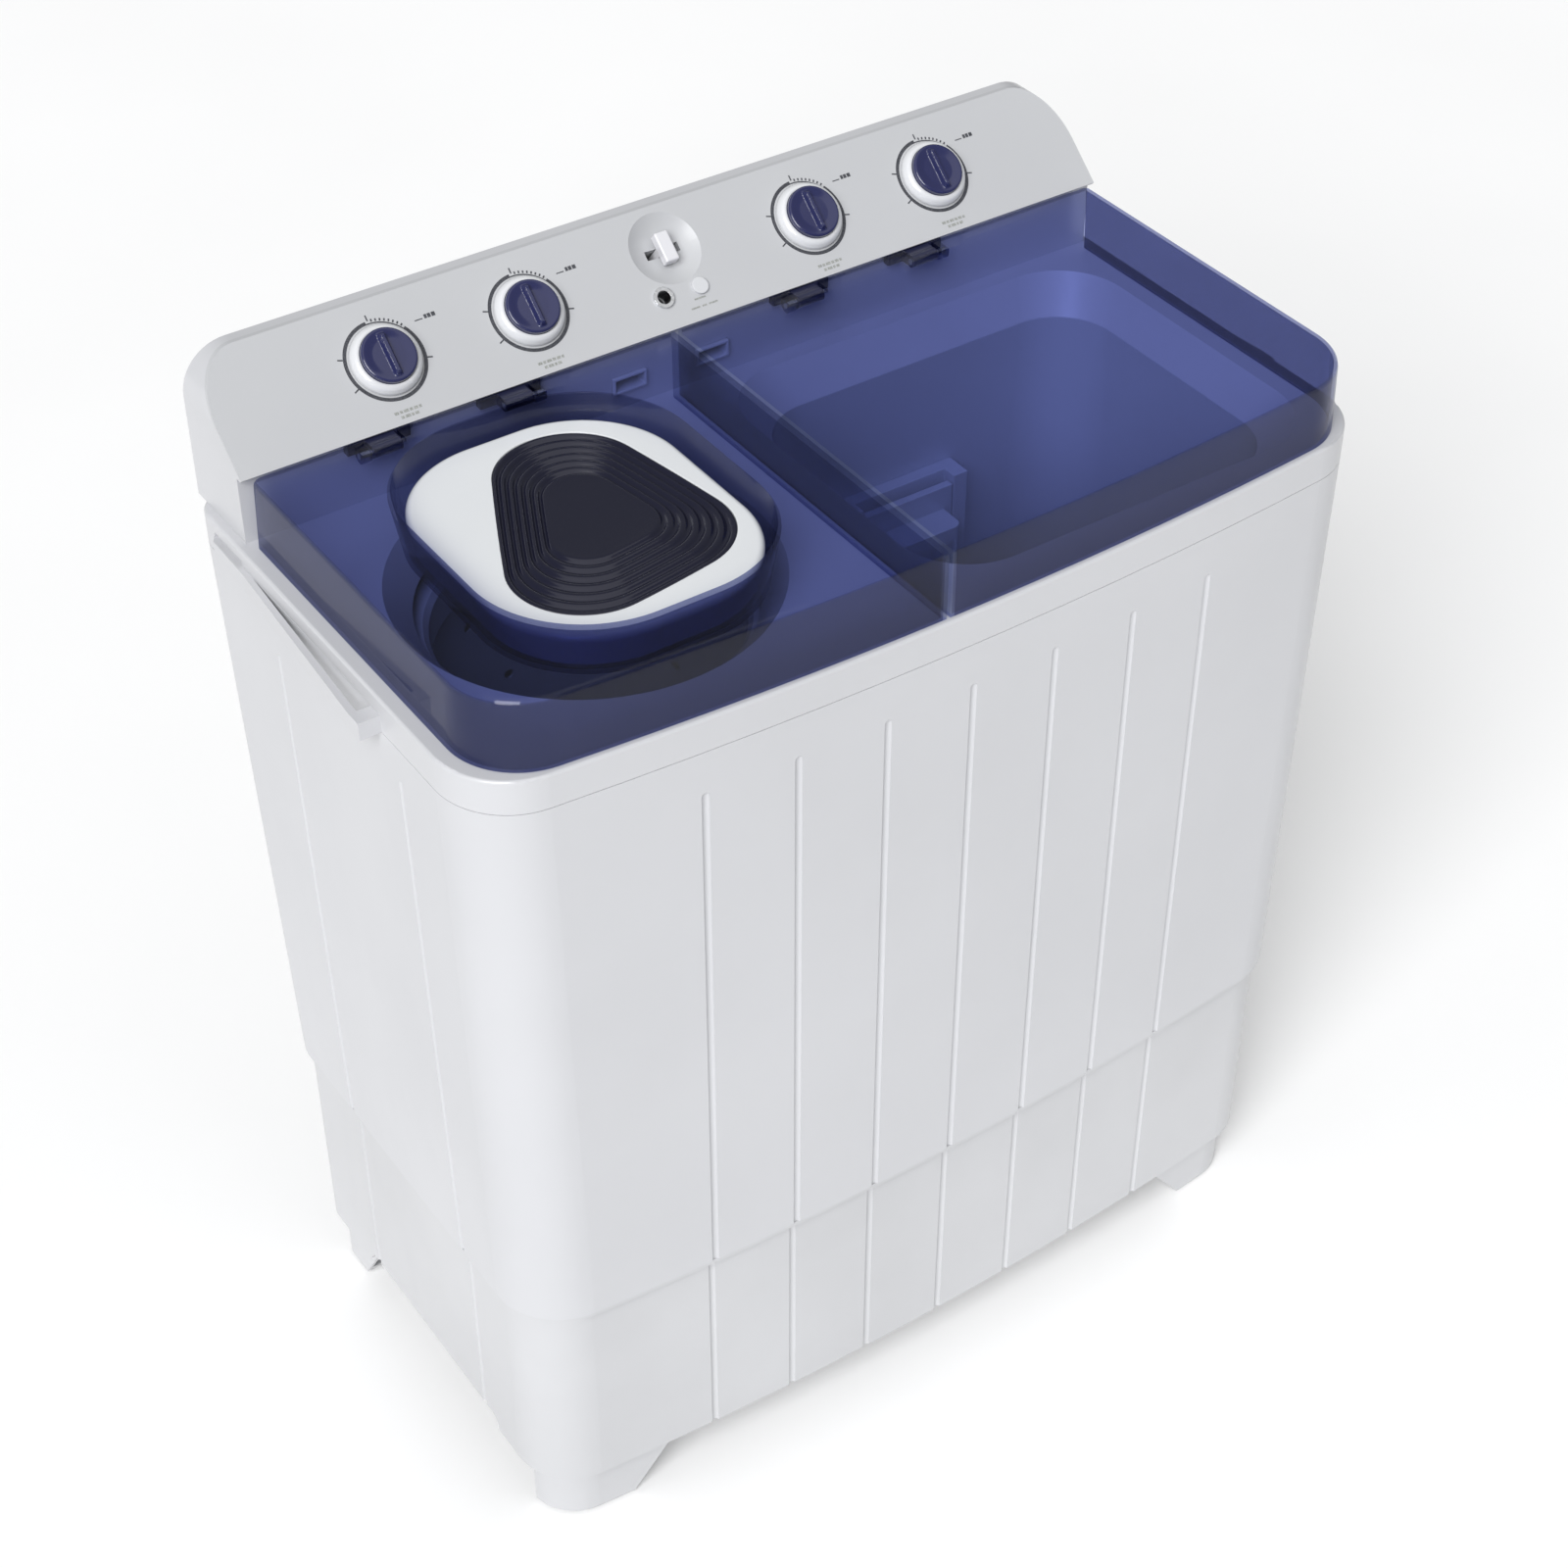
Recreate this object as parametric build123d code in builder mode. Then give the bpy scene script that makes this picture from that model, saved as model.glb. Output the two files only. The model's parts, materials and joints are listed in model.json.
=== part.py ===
from build123d import *
import os
from math import atan2, cos, degrees, hypot, radians, sin, tan

os.makedirs("parts", exist_ok=True)

# Twin tub washing machine. Millimetres, +Z up, +X to the user's right, front towards -Y.
# The origin is on the floor under the middle of the machine.

# ---------------------------------------------------------------- driving dimensions
WIDTH = 795.0            # across the rim, without the side grips
DEPTH = 445.0            # bowed front to the back of the console
HEIGHT = 946.0           # floor to the top of the console
BOW = 21.0               # how far the middle of the front stands proud of its corners
FRONT = -DEPTH / 2 + BOW
BACK = DEPTH / 2
CORNER = 60.0            # radius of the front corners in plan
REAR_CORNER = 24.0

BASE_EDGE_Z = 60.0       # lower edge of the skirt at the front and the back
SIDE_EDGE_Z = 74.0       # the same on the sides
FOOT_INSET = 9.0         # how far the feet stand back from the skirt
STEP_Z = 271.0           # where the upper cabinet steps out over the base
SEAM_Z = 794.0           # seam between cabinet and top deck
DECK_Z = 823.0           # top of the deck, on which the lids close
LID_TOP = 881.6

RIM_HALF = WIDTH / 2
STEP_HALF = 388.5
BASE_HALF = 382.5
RIM_BACK = 217.0
STEP_BACK = 199.0
BASE_BACK = 193.0
BASE_FRONT = FRONT + 6.0
WALL = 3.5               # moulded cabinet walls
SKIN = 2.5               # tubs and lids
GAP = 0.3                # running gap between pieces that pass each other
FIT = 0.05               # radial clearance of shafts and pins in their holes

GROOVE_PITCH = 75.6
GROOVE_R = 3.4
GROOVE_DEPTH = 1.9
FRONT_GROOVES = 7
FRONT_GROOVE_TOP = 755.0
SIDE_GROOVES = ((-93.0, 762.0), (93.5, 753.0))   # y and upper end of each side groove

TUB_Y = -28.0            # both tubs stand on this line
WASH_X = 185.0
SPIN_X = -205.0

WASH_MOUTH = (366.0, 312.0, 60.0)     # width, depth and corner radius at the deck
WASH_THROAT = (326.0, 266.0, 52.0)
WASH_FLOOR = (300.0, 246.0, 60.0)
THROAT_Z = 795.0
WASH_FLOOR_Z = 335.0

SPIN_MOUTH_R = 146.0
SPIN_THROAT_R = 126.0
SPIN_THROAT_Z = 800.0
SPIN_TUB_R = 154.0
SPIN_TUB_FLOOR_Z = 292.0
BASKET_R = 134.0
BASKET_FLOOR_Z = 340.0
BASKET_TOP_Z = 768.0

LID_BOTTOM = DECK_Z + 1.0
LID_HALF = 385.5
LID_TOP_HALF = 383.0
LID_FRONT = FRONT + 3.0
LID_BACK = 133.0
LID_WALL = 3.0
LID_SPLIT = -23.0        # the line between the two lids
HINGE_Y = 126.5
HINGE_Z = 874.5
PIN_R = 2.5

FACE_ANGLE = 40.75       # slope of the control panel above the horizontal
FACE_Y = 135.5           # lower edge of the sloping face
CONSOLE_HALF = 390.0
CONSOLE_CORNER = 38.0
RISER_Y = 143.5
PANEL_T = 2.5
CONSOLE_WALL = 3.0

KNOB_X = (-250.0, -128.0, 128.0, 250.0)
KNOB_S = 50.0            # distance of the knob centres up the sloping face
KNOB_R = 28.0
CAP_R = 21.5
STEM_R = 3.0

FACE_TOP_Y = FACE_Y + (HEIGHT - LID_TOP) / sin(radians(FACE_ANGLE)) * cos(radians(FACE_ANGLE))
FACE = Plane(
    origin=(0, FACE_Y, LID_TOP),
    x_dir=(1, 0, 0),
    z_dir=(0, -sin(radians(FACE_ANGLE)), cos(radians(FACE_ANGLE))),
)


def save(shape, name):
    """Label one finished piece and write it to its own file."""
    shape.label = name
    export_step(shape, "parts/" + name + ".step")


def plan_outline(half, front, back, corner, rear_corner, bow=BOW):
    """Plan view of the body: bowed front, straight sides and back, round corners."""
    with BuildSketch() as plan:
        with BuildLine():
            ThreePointArc((-half, front), (0, front - bow), (half, front))
            Polyline((half, front), (half, back), (-half, back), (-half, front))
        make_face()
        fillet(plan.vertices().group_by(Axis.Y)[0], corner)
        fillet(plan.vertices().group_by(Axis.Y)[-1], rear_corner)
    return plan.sketch


def body_loft(lower, upper, inset=0.0):
    """Solid between two levels of the body; each level is (z, half width, front, back)."""
    with BuildPart() as block:
        for z, half, front, back in (lower, upper):
            with BuildSketch(Plane.XY.offset(z)):
                add(plan_outline(half - inset, front + inset, back - inset,
                                 CORNER - inset, REAR_CORNER - inset))
        loft(ruled=True)
    return block.part


def rounded_loft(centre, lower, upper):
    """Solid between two rounded rectangles; each level is (z, width, depth, radius)."""
    with BuildPart() as block:
        for z, width, depth, radius in (lower, upper):
            with BuildSketch(Plane.XY.offset(z)):
                with Locations(centre):
                    RectangleRounded(width, depth, radius)
        loft(ruled=True)
    return block.part


def front_y(x, front, half):
    """Where the bowed front lies at a distance x from the middle."""
    return front - BOW * (1 - (x / half) ** 2)


def turned(x, y, z, points):
    """Solid turned about a vertical axis from a closed profile of (radius, height) points."""
    with BuildPart() as body:
        with BuildSketch(Plane(origin=(x, y, z), x_dir=(1, 0, 0), z_dir=(0, -1, 0))):
            with BuildLine():
                Polyline(*points, close=True)
            make_face()
        revolve(axis=Axis((x, y, 0), (0, 0, 1)))
    return body.part


def groove_cutters(z_low, z_high_front, side_tops, front, half_low, half_high):
    """Round-nosed rods that cut the vertical grooves of the front and the sides."""
    stand_off = GROOVE_R - GROOVE_DEPTH
    rise = z_high_front - z_low
    lean = degrees(atan2(half_high - half_low, rise))
    with BuildPart() as rods:
        for k in range(FRONT_GROOVES):
            x = (k - (FRONT_GROOVES - 1) / 2) * GROOVE_PITCH
            with Locations((x, front_y(x, front, half_low) - stand_off, z_low)):
                Cylinder(GROOVE_R, rise, align=(Align.CENTER, Align.CENTER, Align.MIN))
            with Locations((x, front_y(x, front, half_low) - stand_off, z_high_front)):
                Sphere(GROOVE_R)
        for side in (-1, 1):
            for y, top in side_tops:
                reach = hypot(top - z_low, (half_high - half_low) * (top - z_low) / rise)
                x_low = side * (half_low + stand_off)
                x_top = x_low + side * (half_high - half_low) * (top - z_low) / rise
                with Locations(Location((x_low, y, z_low), (0, side * lean, 0))):
                    Cylinder(GROOVE_R, reach, align=(Align.CENTER, Align.CENTER, Align.MIN))
                with Locations((x_top, y, top)):
                    Sphere(GROOVE_R)
    return rods.part


# ================================================================ cabinet and base
step_level = (STEP_Z, STEP_HALF, FRONT, STEP_BACK)
seam_level = (SEAM_Z, RIM_HALF, FRONT, RIM_BACK)
REAR_HATCH = (560.0, 120.0, 470.0)     # width, lower and upper end of the rear opening

with BuildPart() as cabinet_shell:
    add(body_loft(step_level, seam_level))
    add(body_loft(step_level, seam_level, WALL), mode=Mode.SUBTRACT)
    add(groove_cutters(STEP_Z - 1, FRONT_GROOVE_TOP, SIDE_GROOVES, FRONT, STEP_HALF, RIM_HALF),
        mode=Mode.SUBTRACT)
    # opening in the back wall for reaching the motors and the belt
    with BuildSketch(Plane.XZ.offset(-RIM_BACK - 5)):
        with Locations((0, (STEP_Z + REAR_HATCH[2]) / 2 - 20)):
            Rectangle(REAR_HATCH[0], REAR_HATCH[2] - STEP_Z + 40)
    extrude(amount=40, mode=Mode.SUBTRACT)
save(cabinet_shell.part, "cabinet_shell")

COVER_SCREWS = [(x, z) for x in (-287, 287) for z in (126, 245)] + [(-100, 113), (100, 113)]
CORD_X = -330.0
CORD_Z = 180.0
CORD_BORE = 4.2
OUTLET = (330.0, 180.0)      # x and z of the drain spigot in the back of the base
OUTLET_R = 13.0
LEG_BOTTOM_Z = 3.0
SOLE_Z = 6.0
TRAY_Z = 88.0
LEDGE_Z = STEP_Z - 4.0



def base_outline(inset):
    """Plan view of the base, or of a ring inside it."""
    return plan_outline(BASE_HALF - inset, BASE_FRONT + inset, BASE_BACK - inset,
                        CORNER - 6 - inset, REAR_CORNER - 6 - inset)


with BuildPart() as base_frame:
    # feet, and the skirt over them
    with BuildSketch(Plane.XY.offset(LEG_BOTTOM_Z)):
        add(base_outline(FOOT_INSET))
    extrude(amount=BASE_EDGE_Z - LEG_BOTTOM_Z)
    with BuildSketch(Plane.XY.offset(BASE_EDGE_Z)):
        add(base_outline(0))
    extrude(amount=LEDGE_Z - BASE_EDGE_Z)
    # ledge on which the upper cabinet stands
    with BuildSketch(Plane.XY.offset(LEDGE_Z)):
        add(plan_outline(STEP_HALF - 0.8, FRONT + 0.8, STEP_BACK - 0.8, CORNER, REAR_CORNER))
    extrude(amount=STEP_Z - LEDGE_Z)
    # hollows: above the tray that carries the motors, in the skirt, in the feet, under the soles
    for low, high, inset in ((TRAY_Z + 4, STEP_Z + 1, WALL), (BASE_EDGE_Z + WALL, TRAY_Z, WALL),
                             (SOLE_Z + 4, BASE_EDGE_Z + WALL, FOOT_INSET + WALL),
                             (0, SOLE_Z, FOOT_INSET + WALL)):
        with BuildSketch(Plane.XY.offset(low)):
            add(base_outline(inset))
        extrude(amount=high - low, mode=Mode.SUBTRACT)
    # arches between the feet, through front and back and then through the sides
    with BuildSketch(Plane.XZ.offset(-300)) as end_arch:
        with BuildLine():
            Polyline((-306, -5), (-299, 4), (-256, BASE_EDGE_Z), (256, BASE_EDGE_Z),
                     (299, 4), (306, -5), close=True)
        make_face()
        fillet(end_arch.vertices().group_by(Axis.Y)[-1], 30)
    extrude(amount=600, mode=Mode.SUBTRACT)
    with BuildSketch(Plane.YZ.offset(-400)) as side_arch:
        with BuildLine():
            Polyline((-154, -5), (-154, BASE_EDGE_Z), (-114, BASE_EDGE_Z), (-114, SIDE_EDGE_Z),
                     (104, SIDE_EDGE_Z), (147, 4), (150, -5), close=True)
        make_face()
        fillet(side_arch.vertices().group_by(Axis.Y)[-1], 10)
    extrude(amount=800, mode=Mode.SUBTRACT)
    add(groove_cutters(BASE_EDGE_Z - 1, LEDGE_Z + 6, ((-93.0, LEDGE_Z + 6), (93.5, LEDGE_Z + 6)),
                       BASE_FRONT, BASE_HALF, BASE_HALF), mode=Mode.SUBTRACT)
    # opening behind the rear cover, and air slots in the tray
    with BuildSketch(Plane.XZ.offset(-BASE_BACK - 5)):
        with Locations((0, (REAR_HATCH[1] + STEP_Z) / 2 + 20)):
            Rectangle(REAR_HATCH[0], STEP_Z - REAR_HATCH[1] + 40)
    extrude(amount=20, mode=Mode.SUBTRACT)
    with BuildSketch(Plane.XY.offset(TRAY_Z)):
        for x in (-340, 0, 340):
            with Locations((x, TUB_Y)):
                with GridLocations(24, 0, 3, 1):
                    SlotOverall(110, 9, rotation=90)
    extrude(amount=6, mode=Mode.SUBTRACT)
    # holes for the cord grommet, the drain spigot and the cover screws
    with Locations(Location((CORD_X, BASE_BACK, CORD_Z), (90, 0, 0))):
        Cylinder(9, 20, mode=Mode.SUBTRACT)
    with Locations(Location((OUTLET[0], BASE_BACK, OUTLET[1]), (90, 0, 0))):
        Cylinder(OUTLET_R + GAP, 20, mode=Mode.SUBTRACT)
    for x, z in COVER_SCREWS:
        with Locations(Location((x, BASE_BACK, z), (90, 0, 0))):
            Cylinder(2, 40, mode=Mode.SUBTRACT)
save(base_frame.part, "base_frame")

FOOT_X = 334.0
FOOT_Y = (-171.0, 165.0)
FOOT_R = 13.0
with BuildPart() as foot_pads:
    for y in FOOT_Y:
        with Locations((-FOOT_X, y), (FOOT_X, y)):
            Cylinder(FOOT_R, SOLE_Z, align=(Align.CENTER, Align.CENTER, Align.MIN))
    chamfer(foot_pads.edges().group_by(Axis.Z)[0], 1.5)
save(foot_pads.part, "foot_pads")

HATCH_OVERLAP = 14.0
COVER_T = 3.0
with BuildPart() as rear_cover:
    # one pressed sheet: a flat lower half on the base, a leaning upper half on the cabinet
    with BuildSketch(Plane.YZ.offset(-REAR_HATCH[0] / 2 - HATCH_OVERLAP)):
        lean = (RIM_BACK - STEP_BACK) / (SEAM_Z - STEP_Z)
        top_z = REAR_HATCH[2] + HATCH_OVERLAP
        with BuildLine():
            Polyline((BASE_BACK, REAR_HATCH[1] - HATCH_OVERLAP),
                     (BASE_BACK, LEDGE_Z),
                     (STEP_BACK - 0.8, LEDGE_Z),
                     (STEP_BACK, STEP_Z),
                     (STEP_BACK + lean * (top_z - STEP_Z), top_z),
                     (STEP_BACK + lean * (top_z - STEP_Z) + COVER_T, top_z),
                     (STEP_BACK + COVER_T, STEP_Z - 3),
                     (BASE_BACK + COVER_T, LEDGE_Z - 8),
                     (BASE_BACK + COVER_T, REAR_HATCH[1] - HATCH_OVERLAP),
                     close=True)
        make_face()
    extrude(amount=REAR_HATCH[0] + 2 * HATCH_OVERLAP)
    # cooling louvres
    with BuildSketch(Plane.XZ.offset(-BASE_BACK - COVER_T - 1)):
        with Locations((-170, 190), (170, 190)):
            with GridLocations(0, 14, 1, 6):
                SlotOverall(120, 5)
    extrude(amount=COVER_T + 2, mode=Mode.SUBTRACT)
    for x, z in COVER_SCREWS:
        with Locations(Location((x, BASE_BACK, z), (90, 0, 0))):
            Cylinder(2, 40, mode=Mode.SUBTRACT)
save(rear_cover.part, "rear_cover")

# ================================================================ top deck
BAND_Z = SEAM_Z + 0.6
DECK_T = 3.0
band_low = (BAND_Z, RIM_HALF, FRONT, RIM_BACK)
band_high = (DECK_Z, RIM_HALF, FRONT, RIM_BACK)
GRIP_FRONT_Y = -72.0
GRIP_REAR_Y = 128.0
GRIP_OUT = 17.0
GRIP_Z = (794.0, 809.0)



def rim_ring(low, high, outer, inner):
    """Upright ring inside the rim, between two insets from the outline."""
    with BuildPart() as ring:
        add(body_loft((low, RIM_HALF, FRONT, RIM_BACK), (high, RIM_HALF, FRONT, RIM_BACK), outer))
        add(body_loft((low - 1, RIM_HALF, FRONT, RIM_BACK),
                      (high + 1, RIM_HALF, FRONT, RIM_BACK), inner), mode=Mode.SUBTRACT)
    return ring.part


with BuildPart() as top_deck:
    add(body_loft(band_low, band_high))
    fillet(top_deck.edges().group_by(Axis.Z)[-1], 2.5)
    add(body_loft((BAND_Z - 1, RIM_HALF, FRONT, RIM_BACK),
                  (DECK_Z - DECK_T, RIM_HALF, FRONT, RIM_BACK), WALL), mode=Mode.SUBTRACT)
    # tongue that locates the deck inside the cabinet
    add(rim_ring(SEAM_Z - 14, BAND_Z + 3, WALL + 1.1, WALL + 3.4))
    add(rim_ring(BAND_Z, BAND_Z + 3, WALL - 0.5, WALL + 3.4))
    # funnel round the wash tub and dished collar round the spin tub
    add(rounded_loft((WASH_X, TUB_Y),
                     (THROAT_Z, WASH_THROAT[0] + 2 * SKIN, WASH_THROAT[1] + 2 * SKIN, 54),
                     (DECK_Z - 1, WASH_MOUTH[0] + 2 * SKIN, WASH_MOUTH[1] + 2 * SKIN, 62)))
    add(rounded_loft((WASH_X, TUB_Y),
                     (THROAT_Z - 0.1, WASH_THROAT[0], WASH_THROAT[1], WASH_THROAT[2]),
                     (DECK_Z + 0.1, WASH_MOUTH[0], WASH_MOUTH[1], WASH_MOUTH[2])),
        mode=Mode.SUBTRACT)
    with Locations((SPIN_X, TUB_Y, SPIN_THROAT_Z)):
        Cone(SPIN_THROAT_R + SKIN, SPIN_MOUTH_R + SKIN, DECK_Z - SPIN_THROAT_Z - 1,
             align=(Align.CENTER, Align.CENTER, Align.MIN))
        Cylinder(SPIN_TUB_R + 6, SKIN, align=(Align.CENTER, Align.CENTER, Align.MIN))
    with Locations((SPIN_X, TUB_Y, SPIN_THROAT_Z - 0.1)):
        Cone(SPIN_THROAT_R, SPIN_MOUTH_R, DECK_Z - SPIN_THROAT_Z + 0.2,
             align=(Align.CENTER, Align.CENTER, Align.MIN), mode=Mode.SUBTRACT)
    # side grips: a bar that leaves the rim towards the front and ends in a block
    for side in (-1, 1):
        with BuildSketch(Plane.XY.offset(GRIP_Z[0])):
            with BuildLine():
                Polyline((side * (RIM_HALF - 2), GRIP_REAR_Y + 60),
                         (side * (RIM_HALF + 4), GRIP_REAR_Y + 50),
                         (side * (RIM_HALF + 4.5), GRIP_REAR_Y),
                         (side * (RIM_HALF + GRIP_OUT), GRIP_FRONT_Y + 14),
                         (side * (RIM_HALF + GRIP_OUT), GRIP_FRONT_Y),
                         (side * (RIM_HALF - 2), GRIP_FRONT_Y), close=True)
            make_face()
        extrude(amount=GRIP_Z[1] - GRIP_Z[0])
        with BuildSketch(Plane.XY.offset(GRIP_Z[0] - 1)):
            with BuildLine():
                Polyline((side * (RIM_HALF + 0.2), GRIP_REAR_Y - 6),
                         (side * (RIM_HALF + GRIP_OUT - 6), GRIP_FRONT_Y + 18),
                         (side * (RIM_HALF + GRIP_OUT - 6), GRIP_FRONT_Y + 13),
                         (side * (RIM_HALF + 0.2), GRIP_FRONT_Y + 13), close=True)
            make_face()
        extrude(amount=GRIP_Z[1] - GRIP_Z[0] + 2, mode=Mode.SUBTRACT)
        # shadow slot between rim and console at the rear corner
        with Locations((side * RIM_HALF, 161, 811)):
            Box(5, 44, 5, mode=Mode.SUBTRACT)
    # opening under the console for the wiring, the water spouts and the drain rod
    with Locations((0, 180, DECK_Z)):
        Box(680, 54, 20, mode=Mode.SUBTRACT)
save(top_deck.part, "top_deck")

# ================================================================ wash tub and its drive
with BuildPart() as wash_tub:
    add(rounded_loft((WASH_X, TUB_Y),
                     (WASH_FLOOR_Z - SKIN, WASH_FLOOR[0] + 2 * SKIN, WASH_FLOOR[1] + 2 * SKIN, 62),
                     (THROAT_Z - 0.2, WASH_THROAT[0] + 2 * SKIN, WASH_THROAT[1] + 2 * SKIN, 54)))
    with BuildSketch(Plane.XY.offset(THROAT_Z - 3.2)):
        with Locations((WASH_X, TUB_Y)):
            RectangleRounded(WASH_THROAT[0] + 20, WASH_THROAT[1] + 20, 58)
    extrude(amount=3)
    add(rounded_loft((WASH_X, TUB_Y),
                     (WASH_FLOOR_Z, WASH_FLOOR[0], WASH_FLOOR[1], WASH_FLOOR[2]),
                     (THROAT_Z + 1, WASH_THROAT[0], WASH_THROAT[1], WASH_THROAT[2])),
        mode=Mode.SUBTRACT)
    # boss under the floor for the gearbox, with the shaft hole and the drain hole
    with Locations((WASH_X, TUB_Y, WASH_FLOOR_Z - 8)):
        Cylinder(34, 8, align=(Align.CENTER, Align.CENTER, Align.MIN))
    with Locations((WASH_X, TUB_Y, WASH_FLOOR_Z - 10)):
        Cylinder(20, 20, align=(Align.CENTER, Align.CENTER, Align.MIN), mode=Mode.SUBTRACT)
    with Locations((WASH_X - 118, TUB_Y + 84, WASH_FLOOR_Z - 10)):
        Cylinder(15, 20, align=(Align.CENTER, Align.CENTER, Align.MIN), mode=Mode.SUBTRACT)
save(wash_tub.part, "wash_tub")

CHANNEL_Y = TUB_Y + 106.0
CHANNEL_Z = (370.0, 690.0)
CHANNEL_X = WASH_X - 20.0
WALL_LEAN = (WASH_THROAT[1] - WASH_FLOOR[1]) / 2 / (THROAT_Z - WASH_FLOOR_Z)


def rear_wall_y(z):
    """Inner face of the wash tub's rear wall."""
    return TUB_Y + WASH_FLOOR[1] / 2 + WALL_LEAN * (z - WASH_FLOOR_Z)


with BuildPart() as filter_channel:
    # moulded water channel on the rear wall of the tub, with a pocket for the lint filter
    with BuildSketch(Plane.YZ.offset(CHANNEL_X - 60)):
        with BuildLine():
            Polyline((CHANNEL_Y, CHANNEL_Z[0]), (rear_wall_y(CHANNEL_Z[0]) - 0.1, CHANNEL_Z[0]),
                     (rear_wall_y(CHANNEL_Z[1]) - 0.1, CHANNEL_Z[1]), (CHANNEL_Y, CHANNEL_Z[1]),
                     close=True)
        make_face()
    extrude(amount=120)
    with Locations((CHANNEL_X, CHANNEL_Y, 480)):
        Box(92, 26, 230, align=(Align.CENTER, Align.CENTER, Align.MIN), mode=Mode.SUBTRACT)
    with Locations((CHANNEL_X, CHANNEL_Y, 385)):
        with GridLocations(14, 0, 7, 1):
            Box(6, 16, 70, align=(Align.CENTER, Align.CENTER, Align.MIN), mode=Mode.SUBTRACT)
save(filter_channel.part, "filter_channel")

POUCH_D = 30.0
with BuildPart() as lint_filter:
    # frame with its net pouch, which lifts straight up out of the channel
    with Locations((CHANNEL_X, CHANNEL_Y + 4, 482)):
        Box(90, 7, 200, align=(Align.CENTER, Align.CENTER, Align.MIN))
    with Locations((CHANNEL_X, CHANNEL_Y + 4, 490)):
        Box(74, POUCH_D, 170, align=(Align.CENTER, Align.MAX, Align.MIN))
    fillet(lint_filter.edges().filter_by(Axis.Z).group_by(Axis.Y)[0], 8)
    with Locations((CHANNEL_X, CHANNEL_Y + 2.5, 492)):
        Box(70, POUCH_D - 3.5, 166, align=(Align.CENTER, Align.MAX, Align.MIN), mode=Mode.SUBTRACT)
    with Locations((CHANNEL_X, CHANNEL_Y + 4, 500)):
        Box(66, 10, 150, align=(Align.CENTER, Align.CENTER, Align.MIN), mode=Mode.SUBTRACT)
save(lint_filter.part, "lint_filter")

SHAFT_R = 6.0
PULSATOR_R = 114.0
PULSATOR_Z = WASH_FLOOR_Z + 3.5
with BuildPart() as pulsator:
    add(turned(WASH_X, TUB_Y, PULSATOR_Z,
               [(SHAFT_R, 0), (PULSATOR_R - 4, 0), (PULSATOR_R, 4), (PULSATOR_R - 2, 8), (80, 9),
                (56, 13), (38, 20), (24, 26), (12, 26), (12, 18), (SHAFT_R, 18)]))
    # six curved paddles that stir the water
    with BuildSketch(Plane.XY.offset(PULSATOR_Z + 6)):
        with Locations((WASH_X, TUB_Y)):
            with PolarLocations(66, 6):
                SlotOverall(76, 11)
    extrude(amount=15)
save(pulsator.part, "pulsator")

with BuildPart() as pulsator_screw:
    add(turned(WASH_X, TUB_Y, PULSATOR_Z,
               [(0, 18), (11.5, 18), (11.5, 24), (8, 27), (0, 27)]))
save(pulsator_screw.part, "pulsator_screw")

PULLEY_Z = 247.0          # middle of both pulleys and of the belt
PULLEY_HALF = 7.0
BIG_PULLEY_R = 84.0
MOTOR_PULLEY_R = 27.0
BELT_DEPTH = 5.5
GROOVE_FLOOR = 7.4        # how deep the pulley grooves are cut
with BuildPart() as pulsator_shaft:
    add(turned(WASH_X, TUB_Y, 0,
               [(0, PULLEY_Z - 12), (SHAFT_R, PULLEY_Z - 12),
                (SHAFT_R, PULSATOR_Z + 18), (0, PULSATOR_Z + 18)]))
save(pulsator_shaft.part, "pulsator_shaft")


def pulley(x, y, rim, hub, bore):
    """V-groove pulley round a vertical shaft."""
    floor = rim - GROOVE_FLOOR
    return turned(x, y, PULLEY_Z,
                  [(bore, -PULLEY_HALF), (hub, -PULLEY_HALF), (hub, -2.5), (floor - 5, -2.5),
                   (floor - 5, -PULLEY_HALF), (rim, -PULLEY_HALF), (rim, -5), (floor, -3.4),
                   (floor, 3.4), (rim, 5), (rim, PULLEY_HALF), (floor - 5, PULLEY_HALF),
                   (floor - 5, 2.5), (hub, 2.5), (hub, PULLEY_HALF), (bore, PULLEY_HALF)])


with BuildPart() as wash_pulley:
    add(pulley(WASH_X, TUB_Y, BIG_PULLEY_R, 17, SHAFT_R))
    with BuildSketch(Plane.XY.offset(PULLEY_Z - 4)):
        with Locations((WASH_X, TUB_Y)):
            with PolarLocations(44, 6):
                Circle(13)
    extrude(amount=8, mode=Mode.SUBTRACT)
save(wash_pulley.part, "wash_pulley")

MOTOR_X = 290.0
MOTOR_Y = 80.0
MOTOR_R = 60.0
MOTOR_SHAFT_R = 6.0
with BuildPart() as motor_pulley:
    add(turned(MOTOR_X, MOTOR_Y, PULLEY_Z,
               [(MOTOR_SHAFT_R, -PULLEY_HALF), (MOTOR_PULLEY_R, -PULLEY_HALF), (MOTOR_PULLEY_R, -5),
                (MOTOR_PULLEY_R - GROOVE_FLOOR, -3.4), (MOTOR_PULLEY_R - GROOVE_FLOOR, 3.4),
                (MOTOR_PULLEY_R, 5), (MOTOR_PULLEY_R, PULLEY_HALF), (MOTOR_SHAFT_R, PULLEY_HALF)]))
save(motor_pulley.part, "motor_pulley")

with BuildPart() as drive_belt:
    for inset, mode in ((GROOVE_FLOOR - GAP - BELT_DEPTH, Mode.ADD),
                        (GROOVE_FLOOR - GAP, Mode.SUBTRACT)):
        with BuildSketch(Plane.XY.offset(PULLEY_Z - 2.9)):
            with Locations((WASH_X, TUB_Y)):
                Circle(BIG_PULLEY_R - inset)
            with Locations((MOTOR_X, MOTOR_Y)):
                Circle(MOTOR_PULLEY_R - inset)
            make_hull()
        extrude(amount=5.8, mode=mode)
save(drive_belt.part, "drive_belt")

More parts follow.
